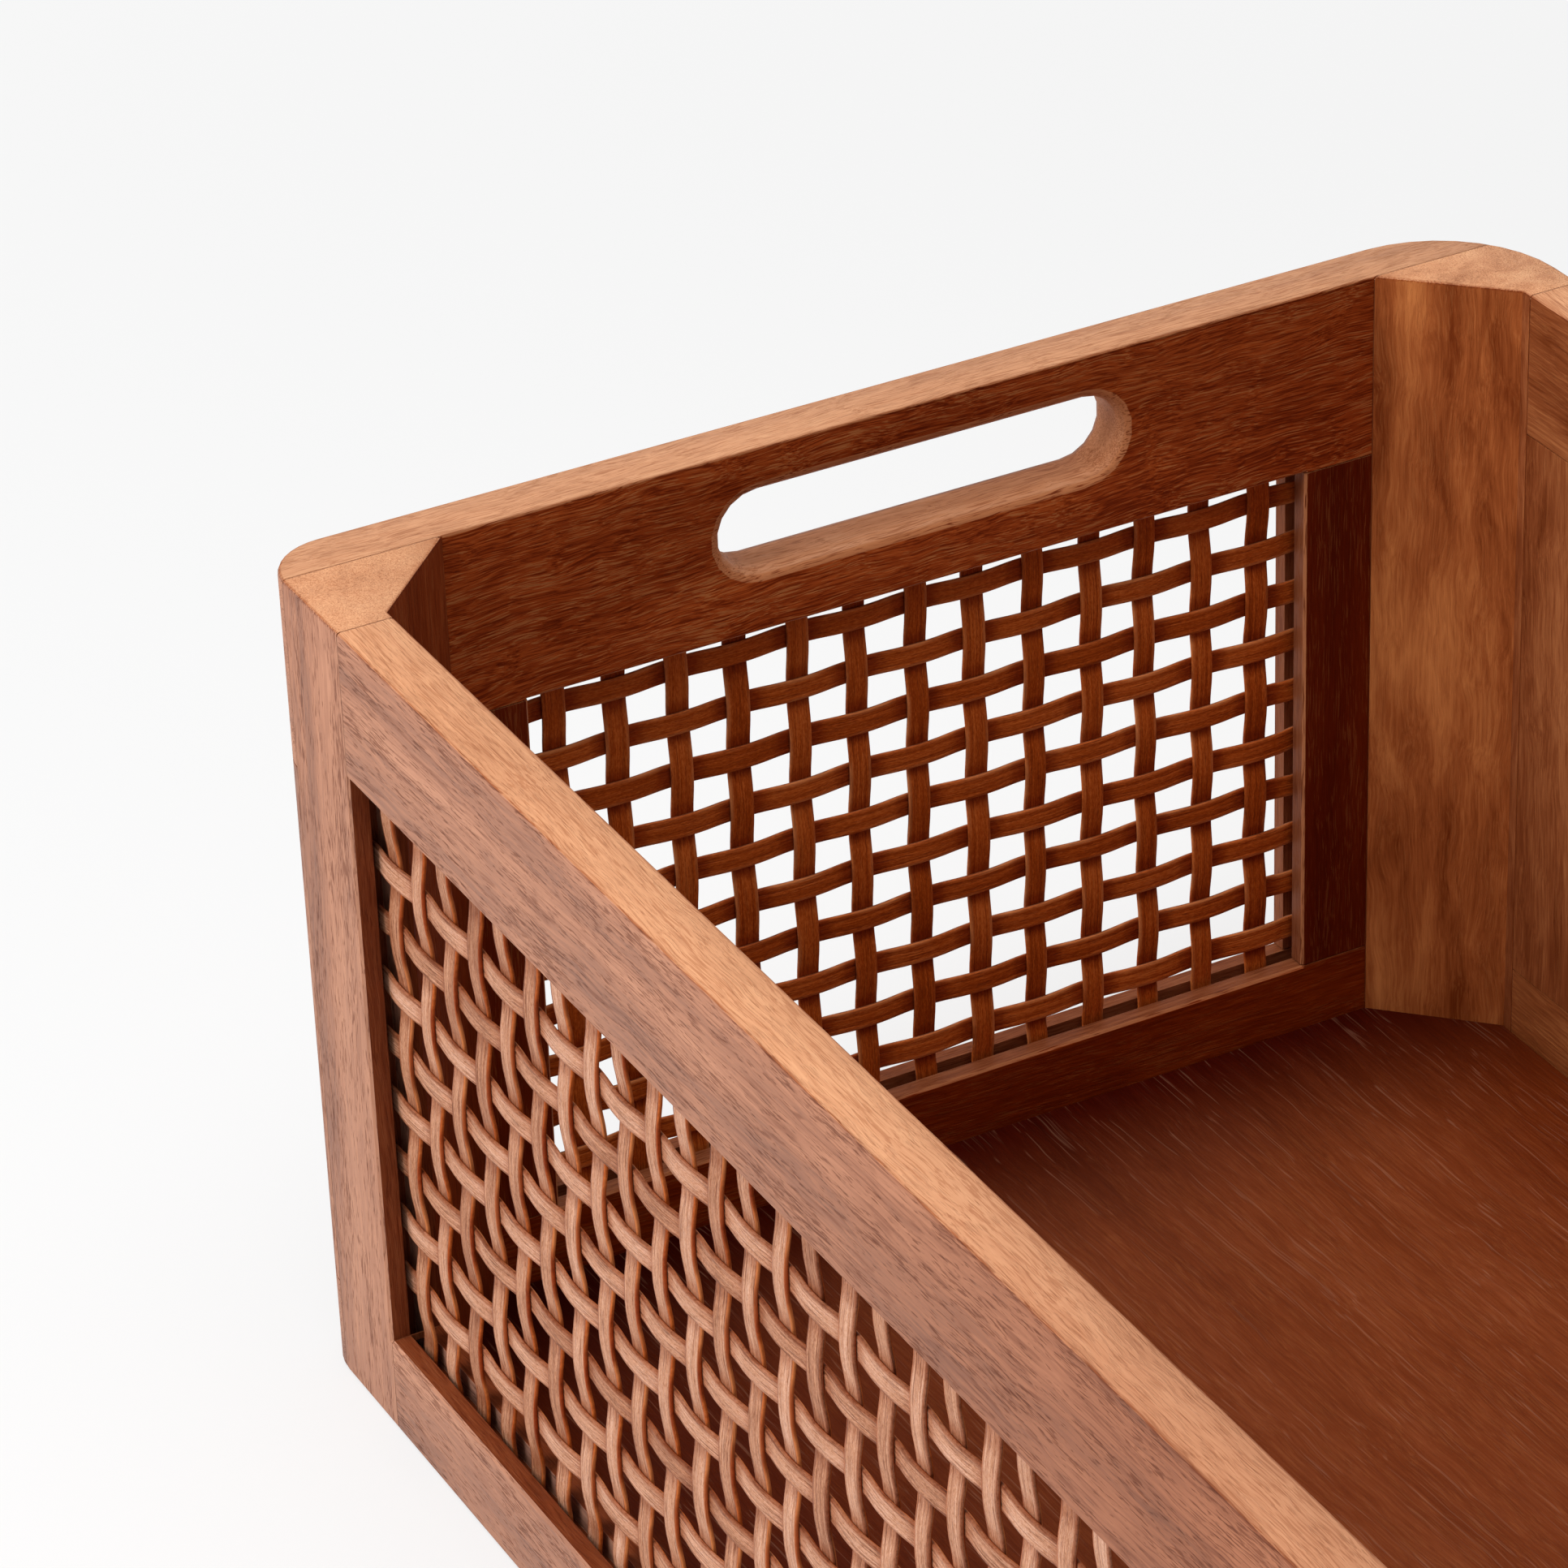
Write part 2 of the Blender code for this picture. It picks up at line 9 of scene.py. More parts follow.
import bmesh
import bpy
from mathutils import Matrix, Vector


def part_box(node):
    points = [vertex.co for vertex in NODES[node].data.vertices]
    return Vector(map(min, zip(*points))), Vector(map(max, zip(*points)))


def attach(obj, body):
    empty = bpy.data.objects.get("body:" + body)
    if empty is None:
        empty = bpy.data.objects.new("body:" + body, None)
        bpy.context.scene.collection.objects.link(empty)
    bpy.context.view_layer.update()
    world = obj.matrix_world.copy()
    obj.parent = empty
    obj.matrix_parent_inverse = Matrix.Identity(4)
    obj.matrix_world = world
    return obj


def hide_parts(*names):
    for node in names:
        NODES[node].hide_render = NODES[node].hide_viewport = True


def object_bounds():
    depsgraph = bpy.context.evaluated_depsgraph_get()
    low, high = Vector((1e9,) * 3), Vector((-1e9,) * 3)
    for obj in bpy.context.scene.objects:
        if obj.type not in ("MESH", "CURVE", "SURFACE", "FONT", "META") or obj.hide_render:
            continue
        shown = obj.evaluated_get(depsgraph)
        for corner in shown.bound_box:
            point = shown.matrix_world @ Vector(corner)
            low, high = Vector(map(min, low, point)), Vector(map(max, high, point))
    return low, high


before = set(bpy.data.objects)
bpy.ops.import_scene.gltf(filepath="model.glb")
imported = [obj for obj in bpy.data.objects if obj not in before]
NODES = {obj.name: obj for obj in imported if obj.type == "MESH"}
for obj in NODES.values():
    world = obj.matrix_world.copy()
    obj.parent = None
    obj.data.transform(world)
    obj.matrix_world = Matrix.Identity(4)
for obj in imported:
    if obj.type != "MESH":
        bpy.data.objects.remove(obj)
cad_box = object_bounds()
HALF_LENGTH, HALF_WIDTH, HEIGHT = cad_box[1]

# The frame's own sizes, which the masks and the glue lines follow
WALL = 0.012
RIM_EASE = 0.0008
OPENING_EASE = 0.0006
RIM_LEVEL = HEIGHT - 0.004
JOINT_GAP = 0.0003
CHAMFER_FOOT = 0.0338
CORNER_RADIUS = {-1: 0.013, 1: 0.028}

# Camera: where it stands, and how it is turned
CAMERA_PLACE = (0.8060, -0.5517, 0.7639)
CAMERA_YAW = 0.4758
CAMERA_PITCH = 0.5277
CAMERA_ROLL = -0.0395
CAMERA_LENS = 148.26
CAMERA_SENSOR = 36.0

# Floor of the studio: it keeps a share of the crate's shadow, which fades to white with the distance
FLOOR_SIZE = 12.0
FLOOR_CELLS = 8
FLOOR_DROP = 0.0002
FLOOR_ALBEDO = 0.80
FLOOR_ROUGHNESS = 0.9
FLOOR_SHADOW_SHARE = 0.36
FLOOR_FADE = (0.45, 1.30)

# Light: the white that the camera sees, the world's own strength, and the lamps as (place, size, power)
BACKGROUND_WHITE = 0.950
WORLD_LIGHT = 0.30
KEY_LAMP = ((-0.25, -1.7, 1.6), 1.4, 43.0)
TOP_LAMP = ((0.1, -0.2, 2.1), 1.8, 24.0)
LAMPS_AIM = (0, 0, 0.09)

# Cane panels: pitches and margins of the strips as the grooves are set out, and how far the strips wave
SIDE_CANE = {
    "warp_pitch": 0.0121, "warp_margin": 0.0052, "weft_pitch": 0.0139, "weft_margin": 0.0163,
    "weft_drop": 0.0040, "thickness": 0.00085, "warp_wave": 0.00056, "weft_wave": 0.00040,
}
END_CANE = {
    "warp_pitch": 0.01365, "warp_margin": 0.0081, "weft_pitch": 0.0118, "weft_margin": 0.0070,
    "weft_drop": 0.0, "thickness": 0.00080, "warp_wave": 0.00044, "weft_wave": 0.00048,
}
STRIP_WIDTH = {"warp": 0.0052, "weft": 0.0053}
STRIP_WIDTH_SHARES = (0.95, 1.05)
STRIP_IN_GROOVE = 0.0042
STRIP_HELD = 1.6 * STRIP_IN_GROOVE
STRIP_DRIFT = 0.00025
STEPS_PER_CROSSING = 7
WEAVE_FLATNESS = 0.9

# One face of a strip's section, in shares of its half width and half thickness, with two shallow grooves
STRIP_FACE_SHARES = ((1.0, 0.0), (0.96, 0.7), (0.88, 1.0), (0.58, 1.0), (0.45, 0.78), (0.32, 1.0),
                     (-0.32, 1.0), (-0.45, 0.78), (-0.58, 1.0), (-0.88, 1.0), (-0.96, 0.7))

# A strip's sway adds waves up, each with limits for its radians per metre and its share of the reach
SWAY_REACH = 0.00022
SWAY_PHASES = (0, 6.28)
SWAY_WAVES = (((20, 45), (0.5, 1.0)), ((20, 45), (0.5, 1.0)), ((90, 140), (0.2, 0.5)))

# Arrises of the boards
ARRIS = 0.00006
ARRIS_SEGMENTS = 2
ARRIS_ANGLE = math.radians(35)
MERGE = 0.000002

# Glue in the corner joints: sheets that fill a share of the gap and stand back a little from the faces
GLUE_SHARE = 0.88
GLUE_RECESS = 0.00003
GLUE_DEPTH = 0.0015
GLUE_LOW = 0.0072
GLUE_STEP = 0.004
GLUE_UNEVENNESS = 0.00001
CORNER_SAG = {-1: 0.00004, 1: 0.00012}

# Seeds, so that every run draws the same. A cane panel takes two, one for each of its sets of strips.
BOARD_SEED = 101
FLOOR_SEED = 131
DOWEL_SEED = 132
GLUE_WOOD_SEED = 140
CANE_SEED = 502
GLUE_SEED = 900

# How far a face has to turn to start to count as one kind of face, and to count in full
OUTER_TURN = (0.05, 0.45)
INWARD_TURN = (-0.05, -0.50)
SQUARE_TURN = (0.80, 0.95)
RIM_TURN = (0.35, 0.75)
EASED_TURN = (0.15, 0.40)
LEVEL_TURN = (0.985, 0.94)

# Depths under the outside of a wall at which a face lines an opening, or lies on its inner arris, where a
# painted highlight shows
REVEAL_DEPTH = (WALL - 0.0002, WALL - 0.0009)
ARRIS_NEAR = (WALL - OPENING_EASE - 0.0002, WALL - OPENING_EASE)
ARRIS_FAR = (WALL - 0.00003, WALL - 0.00009)

# The middle of a noise, of a tone and of a ramp, and a factor that leaves a colour as it is
MIDDLE = 0.5
UNCHANGED = (1.0, 1.0, 1.0)


def grey(level):
    """A colour without a hue, for a socket."""
    return (level, level, level, 1.0)


class Nodes:
    """The nodes of a material or a world: short calls add some and hand back their outputs."""

    def __init__(self, owner):
        owner.use_nodes = True
        self.nodes = owner.node_tree.nodes
        self.links = owner.node_tree.links

    def put(self, socket, value):
        """Links an output to a socket, or sets a plain value on it."""
        if isinstance(value, bpy.types.NodeSocket):
            self.links.new(value, socket)
        elif value is not None:
            socket.default_value = value

    def add(self, kind, inputs=(), output=0, **settings):
        """A node with its settings and inputs, given by the output that is asked for."""
        node = self.nodes.new(kind)
        for key, value in settings.items():
            setattr(node, key, value)
        for key, value in dict(inputs).items():
            self.put(node.inputs[key], value)
        return node.outputs[output]

    def math(self, operation, first, second=None, third=None, clamp=False):
        """One sum, which clamp holds between 0 and 1."""
        inputs = {0: first, 1: second, 2: third}
        return self.add("ShaderNodeMath", inputs, operation=operation, use_clamp=clamp)

    def product(self, first, *others):
        """All values multiplied."""
        for other in others:
            first = self.math("MULTIPLY", first, other)
        return first

    def total(self, first, *others):
        """All values added."""
        for other in others:
            first = self.math("ADD", first, other)
        return first

    def vector(self, operation, first, second=None, output=0):
        """One sum with vectors."""
        return self.add("ShaderNodeVectorMath", {0: first, 1: second}, output, operation=operation)

    def scaled(self, vector, share):
        """A vector made longer or shorter."""
        return self.add("ShaderNodeVectorMath", {0: vector, "Scale": share}, operation="SCALE")

    def parts(self, vector):
        """A vector's X, Y and Z."""
        return self.add("ShaderNodeSeparateXYZ", {0: vector}).node.outputs

    def span(self, value, low, high, to_low=0.0, to_high=1.0):
        """Brings a value from one span to another, eased at both ends and held outside."""
        inputs = {"Value": value, "From Min": low, "From Max": high, "To Min": to_low, "To Max": to_high}
        return self.add("ShaderNodeMapRange", inputs, interpolation_type="SMOOTHSTEP", clamp=True)

    def between(self, share, first, second):
        """A value that goes from the first to the second as a share goes from 0 to 1."""
        return self.span(share, 0.0, 1.0, first, second)

    def seen_by(self, *rays):
        """1 for rays of the kinds that are named, and 0 for all others."""
        path = self.nodes.new("ShaderNodeLightPath").outputs
        share = path[rays[0]]
        for ray in rays[1:]:
            share = self.math("MAXIMUM", share, path[ray])
        return share


class Surface(Nodes):
    """A material in the making, with what wood and cane have in common."""

    def __init__(self, name):
        self.material = bpy.data.materials.new(name)
        super().__init__(self.material)
        self.shader = self.nodes["Principled BSDF"]

    def dressed(self, colour, roughness, gloss, bump=None):
        """The material, with what was worked out joined to its shader."""
        looks = {"Base Color": colour, "Roughness": roughness, "Specular IOR Level": gloss, "Normal": bump}
        for key, value in looks.items():
            self.put(self.shader.inputs[key], value)
        return self.material

    @staticmethod
    def colour(value):
        """An output as it is, or three numbers made a colour for a socket."""
        return value if isinstance(value, bpy.types.NodeSocket) else (*value, 1.0)

    def mix(self, share, first, second, blend="MIX"):
        """A colour between two, or the first blended with the second."""
        inputs = {0: share, 6: self.colour(first), 7: self.colour(second)}
        return self.add("ShaderNodeMix", inputs, 2, data_type="RGBA", blend_type=blend)

    def tinted(self, colour, share, tint):
        """A colour that takes on a tint as far as a share says."""
        return self.mix(share, colour, tint, "MULTIPLY")

    def ramp(self, share, tones, factor=UNCHANGED):
        """A colour between three tones, as a share from 0 to 1."""
        ramp = self.nodes.new("ShaderNodeValToRGB")
        self.put(ramp.inputs["Fac"], share)
        dark, middle, light = [[a * b for a, b in zip(factor, tone)] for tone in tones]
        ramp.color_ramp.elements[0].color = (*dark, 1.0)
        ramp.color_ramp.elements[1].color = (*light, 1.0)
        ramp.color_ramp.elements.new(MIDDLE).color = (*middle, 1.0)
        return ramp.outputs["Color"]

    def noise(self, where, detail, roughness, output="Fac"):
        """A noise whose cells are of size 1 at the place that it is given."""
        inputs = {"Vector": where, "Scale": 1.0, "Detail": detail, "Roughness": roughness}
        return self.add("ShaderNodeTexNoise", inputs, output)

    def swing(self, value, share):
        """A noise's departure from its middle, scaled."""
        return self.math("MULTIPLY_ADD", value, share, -MIDDLE * share)

    def bump(self, height, strength, distance):
        """Relief in the light only."""
        return self.add("ShaderNodeBump", {"Height": height, "Strength": strength, "Distance": distance})

    def face_shares(self):
        """Shares from 0 to 1 that tell which way a face looks, by its place and its normal."""
        coordinates = self.nodes.new("ShaderNodeTexCoord").outputs
        place = self.parts(coordinates["Object"])
        normal = self.parts(coordinates["Normal"])
        reach = [self.math("ABSOLUTE", place[axis]) for axis in "XY"]
        turned = [self.math("MULTIPLY", normal[axis], self.math("SIGN", place[axis])) for axis in "XY"]
        high = self.math("GREATER_THAN", place["Z"], RIM_LEVEL)
        depth = self.math("MINIMUM", self.math("SUBTRACT", HALF_LENGTH, reach[0]),
                          self.math("SUBTRACT", HALF_WIDTH, reach[1]))
        return {
            "outer": self.span(self.math("MAXIMUM", *turned), *OUTER_TURN),
            "inward": self.span(self.math("MINIMUM", *turned), *INWARD_TURN),
            "square": self.span(self.math("ABSOLUTE", normal["Y"]), *SQUARE_TURN),
            "rim": self.product(self.span(normal["Z"], *RIM_TURN), high),
            "eased": self.product(self.span(normal["Z"], *EASED_TURN), high,
                                  self.span(normal["Z"], *LEVEL_TURN)),
            "reveal": self.span(depth, *REVEAL_DEPTH),
            "arris": self.product(self.span(depth, *ARRIS_NEAR), self.span(depth, *ARRIS_FAR)),
            "along": place["X"], "across": place["Y"], "reach": reach[0],
        }


# Tones of the wood by the way a face looks, as (dark, middle, light): lit and shaded copies of one wood, with
# painted light on the rim, painted shade on the inner faces, and a little painted sheen in the outer and rim
# tones
OUTER_TONES = ((0.258, 0.126, 0.088), (0.412, 0.192, 0.119), (0.536, 0.262, 0.162))
RIM_TONES = ((0.425, 0.186, 0.092), (0.606, 0.286, 0.146), (0.726, 0.376, 0.200))
INNER_TONES = ((0.080, 0.012, 0.002), (0.160, 0.034, 0.009), (0.260, 0.072, 0.022))
# Tones for the linings of openings: the pale and slot tones are painted light, the deep tones painted shade
PALE_TONES = ((0.150, 0.036, 0.012), (0.275, 0.080, 0.030), (0.410, 0.145, 0.062))
SLOT_TONES = ((0.420, 0.150, 0.062), (0.600, 0.255, 0.120), (0.740, 0.370, 0.205))
DEEP_TONES = ((0.090, 0.017, 0.005), (0.165, 0.036, 0.011), (0.260, 0.072, 0.025))
REVEAL_TONES = ((0.150, 0.034, 0.010), (0.250, 0.065, 0.022), (0.340, 0.110, 0.045))
FLOOR_TONES = ((0.110, 0.020, 0.005), (0.180, 0.038, 0.010), (0.262, 0.068, 0.023))
DOWEL_TONES = ((0.420, 0.230, 0.110), (0.560, 0.350, 0.190), (0.660, 0.450, 0.270))

# How single boards differ: factors on their tones, what lines their openings, and the marks of the wood. The
# factors on the inner tones are partly the boards' own and partly painted light and shade for where each
# board stands, and the pale and slot linings are painted light, the deep ones painted shade.
# A painted fade is the span of X over which the outer face, and then the rim, take on a last tint: painted
# shade that darkens them towards +X.
# Tones that are given take the place of all others, and shade darkens all but the inner faces.
PLAIN = {"outer": UNCHANGED, "rim": UNCHANGED, "inner": UNCHANGED, "reveal": REVEAL_TONES,
         "tones": None, "shade": 1.0, "square": None, "painted_fade": None, "floor": False, "roughness": 0.48,
         "fleck": 0.25, "pore": 0.75, "figure": 0.35, "wander": 1.0, "fibre": 0.8, "sweep": 0.0,
         "arris": 0.0}
BOARD_LOOKS = {
    "front_top_rail": {"figure": 0.70, "pore": 0.70,
                       "painted_fade": ((-0.080, 0.160, (0.72, 0.58, 0.50)), (-0.010, 0.110, (0.80, 0.75, 0.76)))},
    "front_bottom_rail": {"reveal": DEEP_TONES},
    "back_top_rail": {"inner": (1.46, 1.80, 2.00), "sweep": 1.6},
    "back_bottom_rail": {"inner": (1.62, 2.10, 2.25)},
    "back_wall_stile": {"inner": (1.46, 1.80, 2.00), "wander": 2.0, "sweep": 1.6},
    "handle_rail": {"inner": (2.05, 1.55, 0.95), "rim": (0.89, 0.91, 0.94), "reveal": SLOT_TONES,
                    "fleck": 1.0, "wander": 1.8, "arris": 0.8},
    "end_bottom_rail": {"inner": (1.18, 0.60, 0.13), "reveal": PALE_TONES, "arris": 0.5},
    "stile_front": {"inner": (0.85, 0.45, 0.22), "reveal": PALE_TONES, "arris": 0.8, "fibre": 0.5},
    "stile_back": {"inner": (0.72, 0.32, 0.12), "reveal": PALE_TONES, "arris": 0.8, "fibre": 0.4},
    "post_front": {"inner": (1.12, 0.82, 0.62), "reveal": DEEP_TONES},
    # The back posts' faces that look along Y take a painted shade
    "post_back": {"inner": (2.10, 2.54, 2.37), "wander": 2.2, "fibre": 0.55, "sweep": 2.4,
                  "square": (0.66, 0.66, 0.80)},
}
FLOOR_LOOKS = {"tones": FLOOR_TONES, "fleck": 0.15, "fibre": 0.60, "roughness": 0.44, "floor": True}
DOWEL_LOOKS = {"tones": DOWEL_TONES, "fleck": 0.1, "roughness": 0.6}
GLUE_LOOKS = {"shade": 0.60}

# Painted shade of the walls on the floor board: it darkens to its ends, its back and its front, as (what is
# measured, its span, tint)
FLOOR_PAINTED_SHADE = (
    ("reach", (HALF_LENGTH - 0.070, HALF_LENGTH - 0.007), (0.26, 0.05, 0.02)),
    ("across", (HALF_WIDTH - 0.070, HALF_WIDTH - 0.016), (0.70, 0.52, 0.35)),
    ("across", (0.0, 0.040 - HALF_WIDTH), (0.46, 0.26, 0.14)),
)

# How far the grain may lie askew, and how far a board may be shifted in its log
ASKEW = 0.035
LOG_SHIFT = 50.0

# Noises of the wood, as (cells per metre along the grain, cells per metre across it, detail, roughness)
BEND = (8.0, 26.0, 3.0, 0.6)
RIPPLE = (75.0, 110.0, 1.0, 0.5)
WOOD_LAYERS = {
    "bands": (6.0, 120.0, 3.0, 0.55),
    "patches": (16.0, 45.0, 2.0, 0.5),
    "fibres": (80.0, 1500.0, 3.0, 0.6),
    "pores": (230.0, 2700.0, 2.0, 0.6),
    "flecks": (110.0, 3300.0, 2.0, 0.6),
    "crowd": (30.0, 240.0, 2.0, 0.5),
}
SWEEP_TURN = (6.0, 20.0, 2.0, 0.5)
SWEEP = (14.0, 90.0, 3.0, 0.6)
SCRATCHES = (9.0, 1700.0, 1.0, 0.5)

# How far the wandering noises would move the grain if they swung from end to end
BEND_REACH = 0.006
RIPPLE_REACH = 0.0011
SWEEP_REACH = 0.042

# How strongly the noises swing the tone, and the share of it that one kind of face keeps
BAND_SWING = 1.5
PATCH_SWING = 0.9
FIBRE_SWING = 1.5
INNER_BROAD_SHARE = 0.55
OUTER_FIBRE_SHARE = 0.8

# Marks of the wood, with painted light and shade among them: the span of the noise over which they show, how
# strongly, and their tone or tint
LIGHT_FLECK_SPAN = (0.56, 0.64)
LIGHT_FLECK_SHARE = 0.6
LIGHT_FLECK_TONE = (0.520, 0.200, 0.064)
DARK_FLECK_SPAN = (0.49, 0.38)
DARK_FLECK_SHARE = 0.8
DARK_FLECK_TINT = (0.42, 0.26, 0.18)
FLECK_CROWDING = 0.35
LINING_FLECK_SHARE = 0.7
LINING_FLECK_TINT = (0.60, 0.46, 0.38)
RIM_FLECK_SHARE = 0.6
RIM_FLECK_TINT = (0.62, 0.48, 0.40)
PORE_SPAN = (0.55, 0.66)
PORE_RIM_SHARE = 0.3
PORE_TINT = (0.42, 0.34, 0.34)
PORE_CROWDING = 0.45
RING_RATE = 75.0
RING_SPAN = (0.45, 0.98)
RING_FIBRE_SPAN = (0.36, 0.60)
RING_TINT = (0.50, 0.42, 0.42)
# Darker patches on the eased rim: partly wear, partly painted shade along the arris
WEAR_AND_SHADE_SPAN = (0.38, 0.56)
WEAR_AND_SHADE_TINT = (0.55, 0.38, 0.30)
# A painted highlight along the inner arris of an opening
ARRIS_HIGHLIGHT_SPAN = (0.30, 0.50)
ARRIS_HIGHLIGHT_TONE = (0.620, 0.250, 0.105)
SCRATCH_SPAN = (0.60, 0.76)
SCRATCH_SHARE = 0.24
SCRATCH_TONE = (0.42, 0.20, 0.12)

# Gloss and relief of the wood, the relief as (strength, distance)
WOOD_GLOSS = 0.06
FIBRE_ROUGHNESS = 0.20
PORE_ROUGHNESS = 0.20
FIBRE_HEIGHT = 0.35
WOOD_BUMP = (0.5, 0.00012)


class Wood(Surface):
    """Oiled hardwood: growth bands, fibres, flecks and open pores that all run along the grain."""

    def __init__(self, name, grain, seed, looks):
        super().__init__(name)
        self.grain = grain
        self.draw = random.Random(seed)
        self.looks = {**PLAIN, **looks}
        self.place = self.place_in_log()
        self.shares = self.face_shares()
        self.layers = {}
        for key, noise in WOOD_LAYERS.items():
            self.layers[key] = self.grained(self.place, noise, self.shift())
        crowd = self.layers["crowd"]
        flecks = self.total(self.layers["flecks"], self.swing(crowd, FLECK_CROWDING))
        self.light_fleck = self.span(flecks, *LIGHT_FLECK_SPAN)
        self.dark_fleck = self.span(flecks, *DARK_FLECK_SPAN)
        pores = self.total(self.layers["pores"], self.swing(crowd, PORE_CROWDING))
        self.pore = self.span(pores, *PORE_SPAN)
        self.tone = self.mixed_tone()

    def shift(self):
        """A random step to elsewhere in the log."""
        return tuple(self.draw.uniform(-LOG_SHIFT, LOG_SHIFT) for _ in "XYZ")

    def grained(self, place, noise, shift, output="Fac"):
        """A noise that is drawn out along the grain."""
        along, across, detail, roughness = noise
        scale = tuple(along if axis == self.grain else across for axis in "XYZ")
        where = self.vector("ADD", self.vector("MULTIPLY", place, scale), shift)
        return self.noise(where, detail, roughness, output)

    def wandered(self, place, noise, shift, reach):
        """How far a noise's colours move a place."""
        turn = self.grained(place, noise, shift, "Color")
        return self.scaled(self.vector("SUBTRACT", turn, (MIDDLE,) * 3), reach)

    def place_in_log(self):
        """Where a point lies in the log: the grain runs a little askew, and wanders."""
        place = self.nodes.new("ShaderNodeTexCoord").outputs["Object"]
        unit = tuple(1.0 if axis == self.grain else 0.0 for axis in "XYZ")
        askew = tuple(0.0 if axis == self.grain else self.draw.uniform(-ASKEW, ASKEW) for axis in "XYZ")
        run = self.vector("DOT_PRODUCT", place, unit, "Value")
        place = self.vector("ADD", place, self.scaled(askew, run))
        shift = self.shift()
        bend = self.wandered(place, BEND, shift, BEND_REACH * self.looks["wander"])
        ripple = self.wandered(place, RIPPLE, shift, RIPPLE_REACH * self.looks["wander"])
        return self.vector("ADD", self.vector("ADD", place, bend), ripple)

    def mixed_tone(self):
        """How dark or light the wood is, from 0 to 1."""
        outer = self.shares["outer"]
        broad = self.total(self.swing(self.layers["bands"], BAND_SWING),
                           self.swing(self.layers["patches"], PATCH_SWING))
        broad = self.product(broad, self.between(outer, INNER_BROAD_SHARE, 1.0))
        if self.looks["sweep"]:
            shift = self.shift()
            turn = self.wandered(self.place, SWEEP_TURN, shift, SWEEP_REACH)
            sweep = self.grained(self.vector("ADD", self.place, turn), SWEEP, shift)
            broad = self.total(broad, self.swing(sweep, self.looks["sweep"]))
        fibre = self.product(self.swing(self.layers["fibres"], FIBRE_SWING),
                             self.between(outer, self.looks["fibre"], OUTER_FIBRE_SHARE))
        return self.math("ADD", self.total(broad, fibre), MIDDLE, clamp=True)

    def toned(self, tones, factor=UNCHANGED, shade=1.0):
        """The colour of one kind of face, in the looks' own tones where they have some."""
        return self.ramp(self.tone, self.looks["tones"] or tones, [shade * part for part in factor])

    def inside(self):
        """The faces that look into the crate, in tones painted darker as shade, and on the floor with painted
        shade of the walls.
        """
        looks = self.looks
        # The inner tones are painted shade
        colour = self.toned(INNER_TONES, looks["inner"])
        light = self.product(self.light_fleck, LIGHT_FLECK_SHARE * looks["fleck"])
        colour = self.mix(light, colour, LIGHT_FLECK_TONE)
        dark = self.product(self.dark_fleck, DARK_FLECK_SHARE * looks["fleck"])
        colour = self.tinted(colour, dark, DARK_FLECK_TINT)
        # Painted shade on the faces that look along Y
        if looks["square"]:
            colour = self.tinted(colour, self.shares["square"], looks["square"])
        if looks["floor"]:
            # Painted shade of the walls, darker towards the floor's ends, back and front
            for measure, span, tint in FLOOR_PAINTED_SHADE:
                colour = self.tinted(colour, self.span(self.shares[measure], *span), tint)
            scratch = self.span(self.grained(self.place, SCRATCHES, self.shift()), *SCRATCH_SPAN)
            colour = self.mix(self.product(scratch, SCRATCH_SHARE), colour, SCRATCH_TONE)
        return colour

    def faces(self):
        """The inner faces, the linings of the openings, the outer faces and the rim, each where it shows, in
        lit and shaded tones that are painted light and painted shade.
        """
        looks, shares = self.looks, self.shares
        # Linings in the pale and slot tones are painted light, in the deep tones painted shade
        lining = self.toned(looks["reveal"], shade=looks["shade"])
        lining = self.tinted(lining, self.product(self.dark_fleck, LINING_FLECK_SHARE), LINING_FLECK_TINT)
        outer = self.toned(OUTER_TONES, looks["outer"], looks["shade"])
        rim = self.toned(RIM_TONES, looks["rim"], looks["shade"])
        # Painted shade: the outer face and the rim darken towards +X
        if looks["painted_fade"]:
            (start, end, tint), (rim_start, rim_end, rim_tint) = looks["painted_fade"]
            outer = self.tinted(outer, self.span(shares["along"], start, end), tint)
            rim = self.tinted(rim, self.span(shares["along"], rim_start, rim_end), rim_tint)
        colour = self.mix(shares["reveal"], self.inside(), lining)
        # A painted highlight along the inner arris of an opening, in patches
        if looks["arris"]:
            lit = self.product(shares["arris"], self.span(self.layers["flecks"], *ARRIS_HIGHLIGHT_SPAN), looks["arris"])
            colour = self.mix(lit, colour, ARRIS_HIGHLIGHT_TONE)
        # Outer faces, and the rim in tones painted lighter as light from above
        colour = self.mix(shares["outer"], colour, outer)
        return self.mix(shares["rim"], colour, rim)

    def marked(self, colour):
        """The colour with open pores and growth rings outside, flecks on the rim, and darker patches on the
        eased rim that are partly wear and partly painted shade.
        """
        outer, rim = self.shares["outer"], self.shares["rim"]
        shown = self.math("MAXIMUM", outer, self.product(rim, PORE_RIM_SHARE))
        colour = self.tinted(colour, self.product(self.pore, shown, self.looks["pore"]), PORE_TINT)
        wave = self.math("SINE", self.product(self.layers["bands"], RING_RATE))
        ring = self.product(self.span(wave, *RING_SPAN), self.span(self.layers["fibres"], *RING_FIBRE_SPAN),
                            outer, self.looks["figure"])
        colour = self.tinted(colour, ring, RING_TINT)
        colour = self.tinted(colour, self.product(self.dark_fleck, rim, RIM_FLECK_SHARE), RIM_FLECK_TINT)
        # Partly wear, partly painted shade on the eased rim
        worn_and_shaded = self.product(self.shares["eased"], self.span(self.layers["flecks"], *WEAR_AND_SHADE_SPAN))
        return self.tinted(colour, worn_and_shaded, WEAR_AND_SHADE_TINT)

